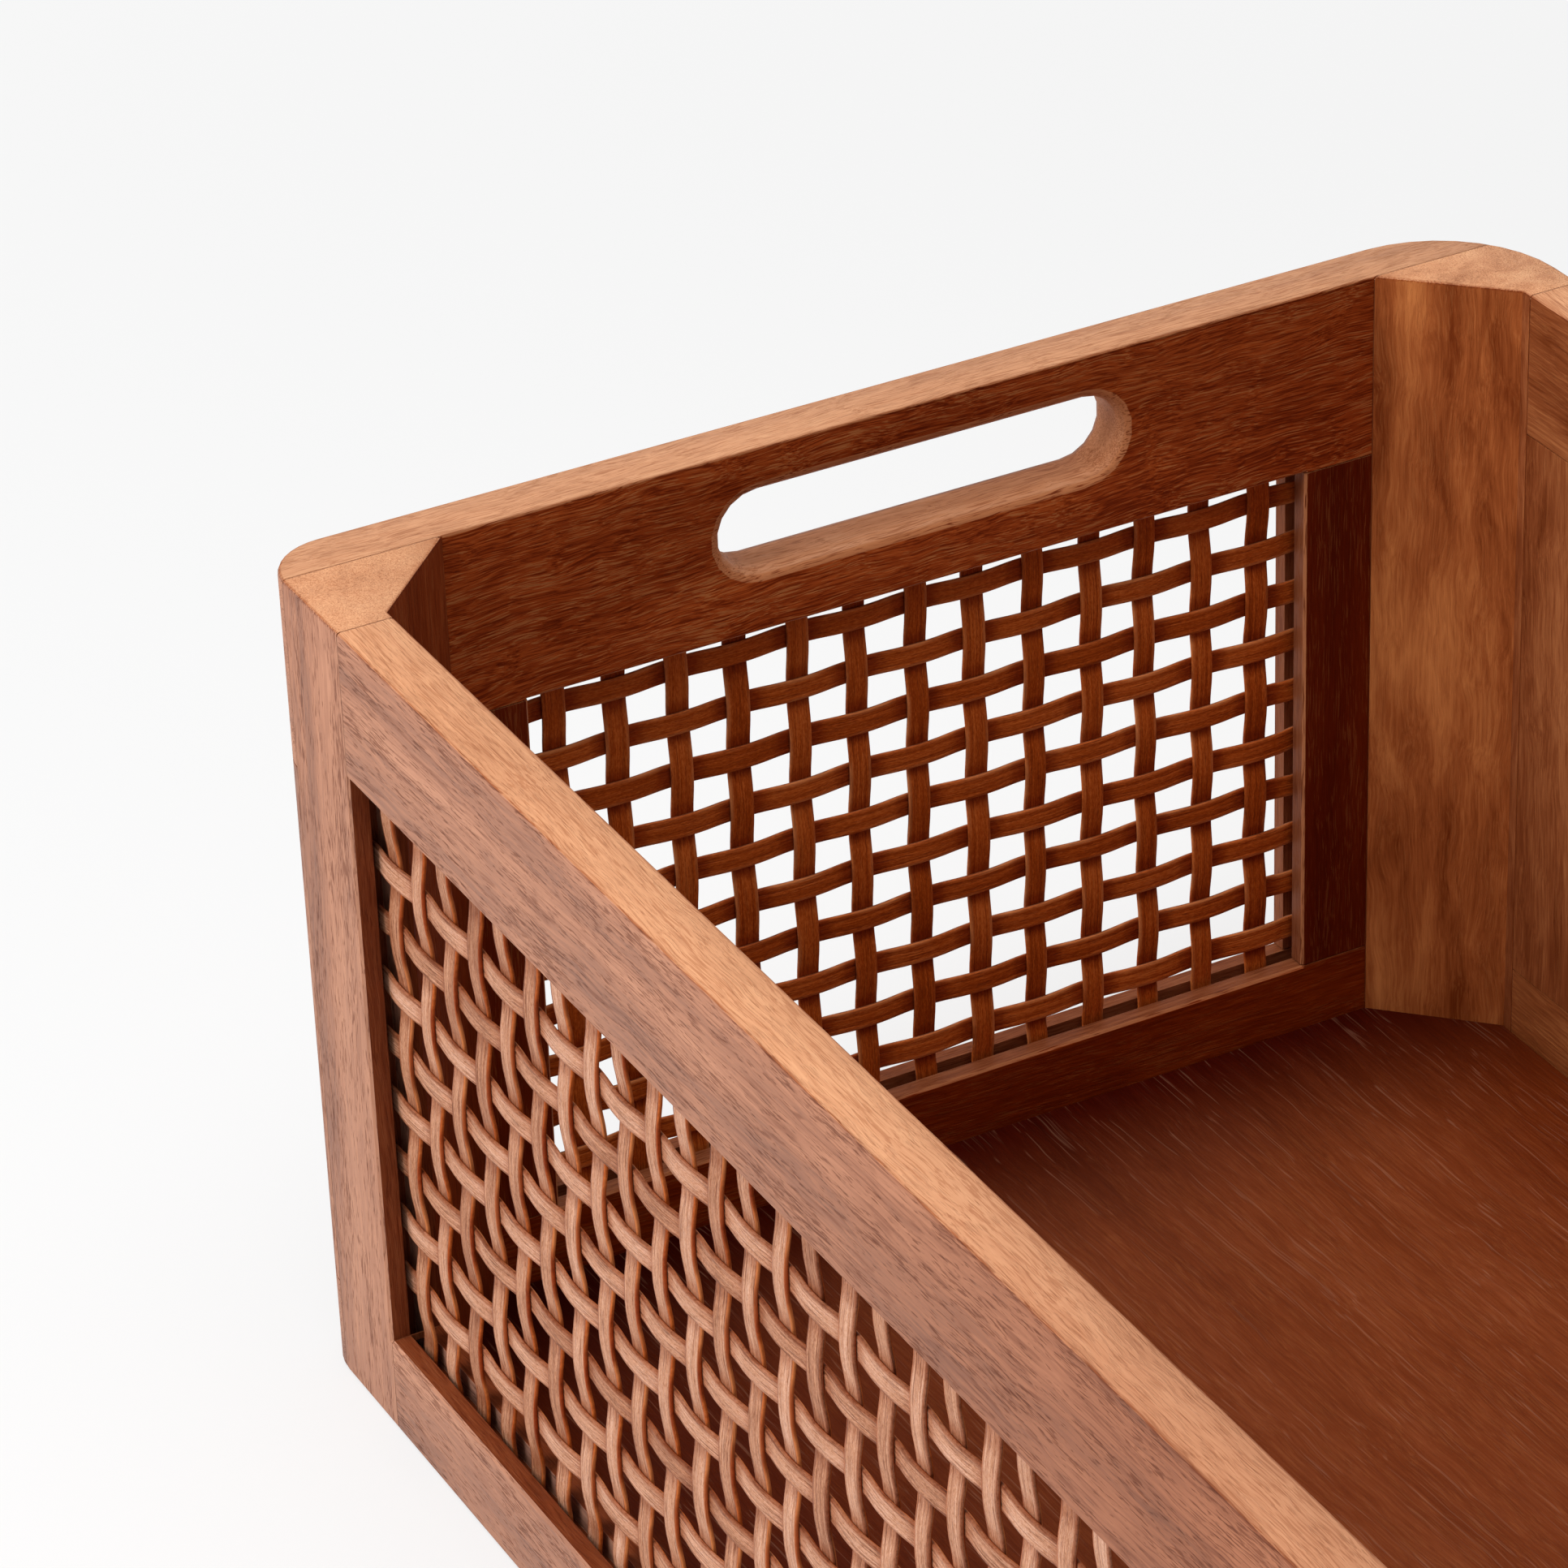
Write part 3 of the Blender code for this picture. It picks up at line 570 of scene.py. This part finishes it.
    def roughness(self):
        """Duller on the fibres and in the pores."""
        base = self.looks["roughness"] - MIDDLE * FIBRE_ROUGHNESS
        fibre = self.math("MULTIPLY_ADD", self.layers["fibres"], FIBRE_ROUGHNESS, base)
        return self.math("MULTIPLY_ADD", self.pore, PORE_ROUGHNESS, fibre)

    def relief(self):
        """Fibres that stand up a little, and pores that go in."""
        height = self.math("SUBTRACT", self.product(self.layers["fibres"], FIBRE_HEIGHT), self.pore)
        return self.bump(height, *WOOD_BUMP)


def wood(name, grain, seed, looks):
    """The material of one board, with its grain along an axis."""
    board = Wood(name, grain, seed, looks)
    return board.dressed(board.marked(board.faces()), board.roughness(), WOOD_GLOSS, board.relief())


# Tones of the cane on the outside and the inside of the crate, as (dark, middle, light): the inside tones are
# painted shade, and the outside tones hold a little painted sheen
CANE_OUTER = ((0.290, 0.106, 0.050), (0.525, 0.248, 0.140), (0.715, 0.418, 0.296))
CANE_INNER = ((0.300, 0.047, 0.003), (0.450, 0.084, 0.010), (0.590, 0.145, 0.026))

# Noises of the cane, as ((scale along a strip, across it, and from strip to strip), detail, roughness)
CANE_LAYERS = {
    "streaks": ((60.0, 3600.0, 1.0), 3.0, 0.6),
    "cracks": ((140.0, 3000.0, 1.7), 2.0, 0.5),
    "patches": ((55.0, 160.0, 1.0), 2.0, 0.5),
    "fuzz": ((900.0, 3400.0, 1.3), 2.0, 0.7),
}
STRIP_HALF_WIDTH = 0.0025
STRIPS_APART = 31.0

# How strongly the noises, and a strip's own shade, swing the tone
CANE_SWINGS = {"streaks": 1.7, "patches": 0.9, "fuzz": 2.0}
OWN_SWING = 0.35

# Marks of the cane, like those of the wood, with painted light and shade among them: the glint is a painted
# highlight. A span of four goes from the first two to the last two.
# Dark edges of the strips: partly the cane's own, partly painted shade on their sides
RIND_SPAN = (0.60, 0.92)
RIND_SHARE = 0.85
RIND_AND_SHADE_TINT = (0.52, 0.32, 0.22)
GLINT_SPAN = (0.42, 0.58, 0.10, 0.60)
GLINT_TONE = (0.640, 0.240, 0.085)
SPECK_SPAN = (0.56, 0.66)
SPECK_SHARE = 0.72
SPECK_TINT = (0.48, 0.34, 0.28)
# Painted shade where a strip dips under another
UNDER_SPAN = (-0.10, 0.85)
UNDER_TINT_OUTSIDE = (0.76, 0.62, 0.54)
UNDER_TINT_INSIDE = (0.60, 0.42, 0.33)
CRACK_SPAN = (0.56, 0.68)
CRACK_SHARES = (0.60, 0.25)
CRACK_TINT = (0.45, 0.33, 0.28)
# Painted shade along the two shallow grooves of each strip, in patches
GROOVE_PLACE = 0.45
GROOVE_SPAN = (0.11, 0.02)
GROOVE_PATCHES = (0.35, 0.65, 0.10, 0.50)
GROOVE_SHADE_TINT = (0.60, 0.48, 0.42)

# Gloss and relief of the cane, the relief as (strength, distance)
CANE_GLOSS = 0.10
CANE_ROUGHNESS = (0.3, 0.7, 0.42, 0.62)
CANE_HEIGHT = 0.5
CANE_BUMP = (0.7, 0.00014)


class Cane(Surface):
    """Split cane: long fine streaks along each strip, dark edges that are partly painted shade, and a tone of
    its own for each strip.
    """

    def __init__(self, name):
        super().__init__(name)
        data = self.add("ShaderNodeAttribute", attribute_name="strip", output="Vector")
        along, across, self.own = self.parts(data)
        self.edge = self.math("ABSOLUTE", across)
        self.inward = self.face_shares()["inward"]
        spot = self.add("ShaderNodeCombineXYZ", {0: along, 1: self.product(across, STRIP_HALF_WIDTH),
                                                 2: self.product(self.own, STRIPS_APART)})
        self.layers = {key: self.noise(self.vector("MULTIPLY", spot, scale), detail, roughness)
                       for key, (scale, detail, roughness) in CANE_LAYERS.items()}
        self.crack = self.span(self.layers["cracks"], *CRACK_SPAN)

    def faces(self):
        """The cane's two sides, each in its own tones: the one that looks out, and the one that looks in,
        which is painted darker as shade.
        """
        swings = [self.swing(self.layers[key], share) for key, share in CANE_SWINGS.items()]
        tone = self.math("ADD", self.total(*swings, self.swing(self.own, OWN_SWING)), MIDDLE, clamp=True)
        rind = self.span(self.edge, *RIND_SPAN)
        # The inside tones are painted shade
        inside = self.ramp(tone, CANE_INNER)
        glint = self.product(rind, self.span(self.layers["patches"], *GLINT_SPAN))
        inside = self.mix(glint, inside, GLINT_TONE)
        outside = self.ramp(tone, CANE_OUTER)
        # Dark edges, partly painted shade
        outside = self.tinted(outside, self.product(rind, RIND_SHARE), RIND_AND_SHADE_TINT)
        speck = self.product(self.span(self.layers["fuzz"], *SPECK_SPAN), SPECK_SHARE)
        outside = self.tinted(outside, speck, SPECK_TINT)
        return self.mix(self.inward, outside, inside)

    def marked(self, colour):
        """The colour with painted shade where a strip dips under another and in its grooves, and with cracks.
        """
        lift = self.add("ShaderNodeAttribute", attribute_name="lift", output="Fac")
        # Painted shade under the crossings
        under = self.product(lift, self.between(self.inward, -1.0, 1.0))
        shade = self.mix(self.inward, UNDER_TINT_OUTSIDE, UNDER_TINT_INSIDE)
        colour = self.tinted(colour, self.span(under, *UNDER_SPAN), shade)
        cut = self.product(self.crack, self.between(self.inward, *CRACK_SHARES))
        colour = self.tinted(colour, cut, CRACK_TINT)
        # Painted shade in the grooves
        away = self.math("ABSOLUTE", self.math("SUBTRACT", self.edge, GROOVE_PLACE))
        groove = self.product(self.span(away, *GROOVE_SPAN),
                              self.span(self.layers["patches"], *GROOVE_PATCHES))
        return self.tinted(colour, groove, GROOVE_SHADE_TINT)

    def roughness(self):
        """Duller where the streaks are high."""
        return self.span(self.layers["streaks"], *CANE_ROUGHNESS)

    def relief(self):
        """Streaks and fuzz that stand up a little, and cracks that go in."""
        height = self.product(self.total(self.layers["streaks"], self.layers["fuzz"]), CANE_HEIGHT)
        return self.bump(self.math("SUBTRACT", height, self.crack), *CANE_BUMP)


def cane(name):
    """The material of the woven strips."""
    strips = Cane(name)
    return strips.dressed(strips.marked(strips.faces()), strips.roughness(), CANE_GLOSS, strips.relief())


def board_surface():
    """Nodes that weld a board's facets and let its smooth turns shade as one surface."""
    group = bpy.data.node_groups.new("board_surface", "GeometryNodeTree")
    group.interface.new_socket("Geometry", in_out="INPUT", socket_type="NodeSocketGeometry")
    group.interface.new_socket("Geometry", in_out="OUTPUT", socket_type="NodeSocketGeometry")
    enter = group.nodes.new("NodeGroupInput")
    leave = group.nodes.new("NodeGroupOutput")
    weld = group.nodes.new("GeometryNodeMergeByDistance")
    weld.inputs["Distance"].default_value = MERGE
    normal = group.nodes.new("GeometryNodeSetMeshNormal")
    normal.mode = "SHARPNESS"
    normal.inputs["Remove Custom"].default_value = True
    group.links.new(enter.outputs[0], weld.inputs["Geometry"])
    group.links.new(weld.outputs["Geometry"], normal.inputs["Mesh"])
    group.links.new(normal.outputs["Mesh"], leave.inputs[0])
    return group


def dress_board(node, material, surface):
    """Gives a board of the frame its material and softened arrises."""
    board = NODES[node]
    board.material_slots[0].material = material
    modifier = board.modifiers.new("surface", "NODES")
    modifier.node_group = surface
    bevel = board.modifiers.new("arris", "BEVEL")
    bevel.width = ARRIS
    bevel.segments = ARRIS_SEGMENTS
    bevel.limit_method = "ANGLE"
    bevel.angle_limit = ARRIS_ANGLE
    bevel.harden_normals = True
    bevel.use_clamp_overlap = False


def wall_boards():
    """The boards of the walls, as (node, axis of the grain, looks)."""
    boards = []
    for side in ("front", "back"):
        for level in ("top", "bottom"):
            boards.append((f"{side}_{level}_rail", "X", f"{side}_{level}_rail"))
    for end in ("left", "right"):
        boards.append((f"{end}_handle_rail", "Y", "handle_rail"))
        boards.append((f"{end}_bottom_rail", "Y", "end_bottom_rail"))
        for side in ("front", "back"):
            for kind in ("stile", "post"):
                boards.append((f"{kind}_{side}_{end}", "Z", f"{kind}_{side}"))
        boards.append((f"back_wall_stile_{end}", "Z", "back_wall_stile"))
    return boards


def dress_boards():
    """Every board of the frame in wood of its own, and the dowels in one wood."""
    surface = board_surface()
    for seed, (node, grain, looks) in enumerate(wall_boards(), BOARD_SEED):
        dress_board(node, wood(f"{node}_wood", grain, seed, BOARD_LOOKS[looks]), surface)
    dress_board("floor_board", wood("floor_board_wood", "X", FLOOR_SEED, FLOOR_LOOKS), surface)
    dowel = wood("dowel_wood_grain", "X", DOWEL_SEED, DOWEL_LOOKS)
    for node in NODES:
        if node.startswith("dowel_"):
            dress_board(node, dowel, surface)


def new_piece(name, build, material):
    """An object of its own from the mesh that was built."""
    mesh = bpy.data.meshes.new(name)
    build.to_mesh(mesh)
    build.free()
    mesh.materials.append(material)
    piece = bpy.data.objects.new(name, mesh)
    bpy.context.scene.collection.objects.link(piece)
    return piece


def inset(path, distance):
    """An open path moved to its right by a distance, with its corners kept."""
    moved = []
    for index, point in enumerate(path):
        normals = []
        for start, end in ((index - 1, index), (index, index + 1)):
            if 0 <= start and end < len(path):
                step = (path[end] - path[start]).normalized()
                normals.append(Vector((step.y, -step.x)))
        middle = sum(normals, Vector((0, 0))).normalized()
        moved.append(point + middle * (distance / middle.dot(normals[0])))
    return moved


def stepped(path):
    """A path with points about a glue step apart."""
    points = []
    for start, end in zip(path, path[1:]):
        count = max(1, round((end - start).length / GLUE_STEP))
        points += [start.lerp(end, i / count) for i in range(count)]
    return points + [path[-1]]


def glue_sheet(build, place, path, draw):
    """A thin sheet in a joint, along a path of (across, up) points round the joint's seen edges."""
    points = stepped(path)
    half = JOINT_GAP * GLUE_SHARE / 2
    edges = []
    for offset in (GLUE_RECESS, GLUE_RECESS + GLUE_DEPTH):
        for x in (place - half, place + half):
            edges.append([build.verts.new((x, point.x + draw.uniform(-1, 1) * GLUE_UNEVENNESS, point.y))
                          for point in inset(points, offset)])
    near_left, near_right, far_left, far_right = edges
    edges = [near_left, near_right, far_right, far_left]
    for i in range(len(points) - 1):
        for edge, beside in zip(edges, edges[1:] + edges[:1]):
            build.faces.new((edge[i], edge[i + 1], beside[i + 1], beside[i]))
    for i in (0, len(points) - 1):
        build.faces.new([edge[i] for edge in edges])


def seen_edges(inner, outer, low, high, rim, side):
    """The way round a joint from the inside, over its top and down the outside."""
    ease = RIM_EASE if rim else OPENING_EASE
    step = math.copysign(ease, side)
    path = [(inner, low), (inner, high - ease), (inner + step, high), (outer - step, high),
            (outer, high - ease), (outer, max(low - GLUE_LOW, 0) + RIM_EASE)]
    return [Vector(point) for point in path]


def end_joint(side):
    """The joint between an end frame and its post: its place along the crate, and the way round it."""
    place = HALF_LENGTH - WALL - JOINT_GAP / 2
    radius = CORNER_RADIUS[side]
    short = radius - (HALF_LENGTH - place)
    outer = HALF_WIDTH - radius + math.sqrt(radius ** 2 - short ** 2) - CORNER_SAG[side]
    return place, seen_edges(side * (HALF_WIDTH - CHAMFER_FOOT), side * outer, GLUE_LOW, HEIGHT, True, side)


def side_joints(side):
    """The joints between a long wall and its post, in two parts where the front wall is open between."""
    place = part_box("post_front_right")[0].x - JOINT_GAP / 2
    wall = (side * (HALF_WIDTH - WALL), side * HALF_WIDTH)
    if side > 0:
        return [(place, seen_edges(*wall, GLUE_LOW, HEIGHT, True, side))]
    bottom = seen_edges(*wall, GLUE_LOW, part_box("front_bottom_rail")[1].z, False, side)
    top_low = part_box("front_top_rail")[0].z + OPENING_EASE
    top = seen_edges(*wall, top_low, HEIGHT, True, side)
    top[-1].y = top_low
    return [(place, bottom), (place, top)]


def glue_lines():
    """Glue that shows as fine lines in the joints of the four corners."""
    draw = random.Random(GLUE_SEED)
    build = bmesh.new()
    for side in (-1, 1):
        for end in (-1, 1):
            for place, path in [end_joint(side), *side_joints(side)]:
                first = len(build.verts)
                glue_sheet(build, end * place, [Vector((side * point.x, point.y)) for point in path], draw)
                build.verts.ensure_lookup_table()
                for vert in build.verts[first:]:
                    vert.co.y *= side
    bmesh.ops.recalc_face_normals(build, faces=build.faces)
    piece = new_piece("glue_lines", build, wood("glue_line_wood", "Z", GLUE_WOOD_SEED, GLUE_LOOKS))
    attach(piece, "root")


def stations(span, pitch, margin):
    """Strip centres along a span, as near the wanted pitch as fits between the margins."""
    count = round((span - 2 * margin) / pitch)
    step = (span - 2 * margin) / count
    return [-span / 2 + margin + step * i for i in range(count + 1)]


def weave(share):
    """A strip's swing from one side to the other: 1 over the middle of a crossing, -1 over the next."""
    return math.tanh(WEAVE_FLATNESS * math.cos(math.pi * share)) / math.tanh(WEAVE_FLATNESS)


def strip(build, layers, line, lifts, across, width, thickness, own):
    """A closed strip along a line of points, with the lift of each point noted for its material."""
    outline = STRIP_FACE_SHARES + tuple((-over, -lift) for over, lift in STRIP_FACE_SHARES)
    rings = []
    run = 0.0
    for index, point in enumerate(line):
        before = line[max(index - 1, 0)]
        after = line[min(index + 1, len(line) - 1)]
        run += (point - before).length
        tangent = (after - before).normalized()
        side = (across - tangent * across.dot(tangent)).normalized()
        out = tangent.cross(side)
        ring = []
        for over, lift in outline:
            vert = build.verts.new(point + side * over * width / 2 + out * lift * thickness / 2)
            vert[layers[0]] = Vector((run, over, own))
            vert[layers[1]] = lifts[index]
            ring.append(vert)
        rings.append(ring)
    for below, above in zip(rings, rings[1:]):
        for i in range(len(outline)):
            face = build.faces.new((below[i - 1], below[i], above[i], above[i - 1]))
            face.smooth = True
    build.faces.new(rings[0])
    build.faces.new(reversed(rings[-1]))


def sway(draw):
    """A slow sway of a strip in its panel's plane, as a function of the distance along it."""
    waves = [(draw.uniform(*rates), draw.uniform(*SWAY_PHASES), SWAY_REACH * draw.uniform(*shares))
             for rates, shares in SWAY_WAVES]
    return lambda run: sum(reach * math.sin(rate * run + phase) for rate, phase, reach in waves)


def cane_set(name, kind, fixed, crossings, reach, spec, turn, seed, material):
    """All strips of one direction in a panel. fixed places them; crossings are the others' places."""
    draw = random.Random(seed)
    build = bmesh.new()
    layers = build.verts.layers.float_vector.new("strip"), build.verts.layers.float.new("lift")
    upright = kind == "warp"
    across = turn.to_3x3() @ Vector((1, 0, 0) if upright else (0, 1, 0))
    first = crossings[0]
    pitch = (crossings[-1] - first) / (len(crossings) - 1)
    count = max(2, round(2 * reach / pitch * STEPS_PER_CROSSING))
    for row, place in enumerate(fixed):
        drift = draw.uniform(-STRIP_DRIFT, STRIP_DRIFT)
        swayed = sway(draw)
        width = STRIP_WIDTH[kind] * draw.uniform(*STRIP_WIDTH_SHARES)
        side = 1 if (row % 2 == 1) != upright else -1
        line = []
        lifts = []
        for i in range(count + 1):
            run = -reach + 2 * reach * i / count
            free = min(1.0, max(0.0, (reach - abs(run)) / STRIP_HELD))
            free = free * free * (3 - 2 * free)
            lift = side * weave((run - first) / pitch) * free
            out = spec[f"{kind}_wave"] * lift
            flat = place + (drift + swayed(run)) * free
            line.append(turn @ Vector((flat, run, out) if upright else (run, flat, out)))
            lifts.append(lift)
        strip(build, layers, line, lifts, across, width, spec["thickness"], draw.random())
    bmesh.ops.recalc_face_normals(build, faces=build.faces)
    return new_piece(name, build, material)


def wall_turn(side, along_x, centre):
    """Brings +Z to point out of a wall and X along it, at the given centre."""
    out = Vector((0, side, 0)) if along_x else Vector((side, 0, 0))
    up = Vector((0, 0, 1))
    across = up.cross(out)
    turn = Matrix((across, up, out)).transposed().to_4x4()
    return Matrix.Translation(centre) @ turn


def cane_panel(wall, spec, half_width, low, high, turn, seed, material):
    """The two sets of strips of a panel, in place of the frame's plain ones."""
    half_height = (high - low) / 2
    across = stations(2 * half_width, spec["warp_pitch"], spec["warp_margin"])
    up = [y - spec["weft_drop"] for y in stations(2 * half_height, spec["weft_pitch"], spec["weft_margin"])]
    warp = cane_set(f"{wall}_upright_strips", "warp", across, up, half_height + STRIP_IN_GROOVE,
                    spec, turn, seed, material)
    weft = cane_set(f"{wall}_level_strips", "weft", up, across, half_width + STRIP_IN_GROOVE,
                    spec, turn, seed + 1, material)
    for piece, kind in ((warp, "warp"), (weft, "weft")):
        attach(piece, "root")
        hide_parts(f"cane_{wall}_{kind}")


def weave_panels():
    """The four cane panels, each in the opening between its wall's rails and the boards beside it."""
    material = cane("cane_strips")
    walls = (("front", -1, True, "top_rail", "post_front_right"),
             ("back", 1, True, "top_rail", "back_wall_stile_right"),
             ("left", -1, False, "handle_rail", "stile_back_left"),
             ("right", 1, False, "handle_rail", "stile_back_right"))
    for index, (wall, side, along_x, above, beside) in enumerate(walls):
        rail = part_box(f"{wall}_{above}")
        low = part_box(f"{wall}_bottom_rail")[1].z
        high = rail[0].z
        middle = (rail[0] + rail[1]) / 2
        level = (low + high) / 2
        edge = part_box(beside)[0]
        half_width = edge.x if along_x else edge.y
        spec = SIDE_CANE if along_x else END_CANE
        turn = wall_turn(side, along_x, (0, middle.y, level) if along_x else (middle.x, 0, level))
        cane_panel(wall, spec, half_width, low, high, turn, CANE_SEED + 2 * index, material)


def floor_material():
    """Pale floor: white to the camera and to gloss, with the crate's shadow kept."""
    floor = Surface("studio_floor")
    floor.dressed(grey(FLOOR_ALBEDO), FLOOR_ROUGHNESS, 0.0)
    place = floor.nodes.new("ShaderNodeTexCoord").outputs["Object"]
    away = floor.vector("LENGTH", place, output="Value")
    seen = floor.seen_by("Is Camera Ray", "Is Glossy Ray", "Is Transmission Ray")
    share = floor.product(seen, floor.span(away, *FLOOR_FADE, 1.0 - FLOOR_SHADOW_SHARE, 1.0))
    glow = floor.add("ShaderNodeEmission", {"Color": grey(BACKGROUND_WHITE), "Strength": 1.0})
    both = floor.add("ShaderNodeMixShader", {0: share, 1: floor.shader.outputs["BSDF"], 2: glow})
    floor.put(floor.nodes["Material Output"].inputs["Surface"], both)
    return floor.material


def studio_floor():
    """A plain level floor under the crate."""
    build = bmesh.new()
    bmesh.ops.create_grid(build, x_segments=FLOOR_CELLS, y_segments=FLOOR_CELLS, size=FLOOR_SIZE / 2)
    floor = new_piece("studio_floor", build, floor_material())
    floor.location.z = -FLOOR_DROP


def studio_world():
    """Soft light from all round, in place of which the camera and gloss see white."""
    world = bpy.data.worlds.new("studio")
    bpy.context.scene.world = world
    sky = Nodes(world)
    light = sky.nodes["Background"]
    sky.put(light.inputs["Color"], grey(1.0))
    sky.put(light.inputs["Strength"], WORLD_LIGHT)
    white = sky.add("ShaderNodeBackground", {"Color": grey(BACKGROUND_WHITE), "Strength": 1.0})
    seen = sky.seen_by("Is Camera Ray", "Is Glossy Ray")
    both = sky.add("ShaderNodeMixShader", {0: seen, 1: light.outputs["Background"], 2: white})
    sky.put(sky.nodes["World Output"].inputs["Surface"], both)


def area_light(name, place, size, power):
    """A square soft light turned to the crate."""
    data = bpy.data.lights.new(name, "AREA")
    data.shape = "SQUARE"
    data.size = size
    data.energy = power
    item = bpy.data.objects.new(name, data)
    item.location = place
    aim = Vector(LAMPS_AIM) - Vector(place)
    item.rotation_mode = "QUATERNION"
    item.rotation_quaternion = aim.to_track_quat("-Z", "Y")
    bpy.context.scene.collection.objects.link(item)


def camera():
    """The photograph's viewpoint."""
    flat = math.cos(CAMERA_PITCH)
    aim = Vector((-flat * math.cos(CAMERA_YAW), flat * math.sin(CAMERA_YAW), -math.sin(CAMERA_PITCH)))
    right = aim.cross(Vector((0, 0, 1))).normalized()
    up = right.cross(aim)
    turned_right = math.cos(CAMERA_ROLL) * right + math.sin(CAMERA_ROLL) * up
    turned_up = math.cos(CAMERA_ROLL) * up - math.sin(CAMERA_ROLL) * right
    data = bpy.data.cameras.new("camera")
    data.lens = CAMERA_LENS
    data.sensor_width = CAMERA_SENSOR
    item = bpy.data.objects.new("camera", data)
    turn = Matrix((turned_right, turned_up, -aim)).transposed().to_4x4()
    item.matrix_world = Matrix.Translation(CAMERA_PLACE) @ turn
    bpy.context.scene.collection.objects.link(item)
    bpy.context.scene.camera = item


dress_boards()
glue_lines()
weave_panels()
studio_floor()
studio_world()
area_light("key", *KEY_LAMP)
area_light("top", *TOP_LAMP)
camera()
bpy.context.scene.view_settings.view_transform = "Standard"
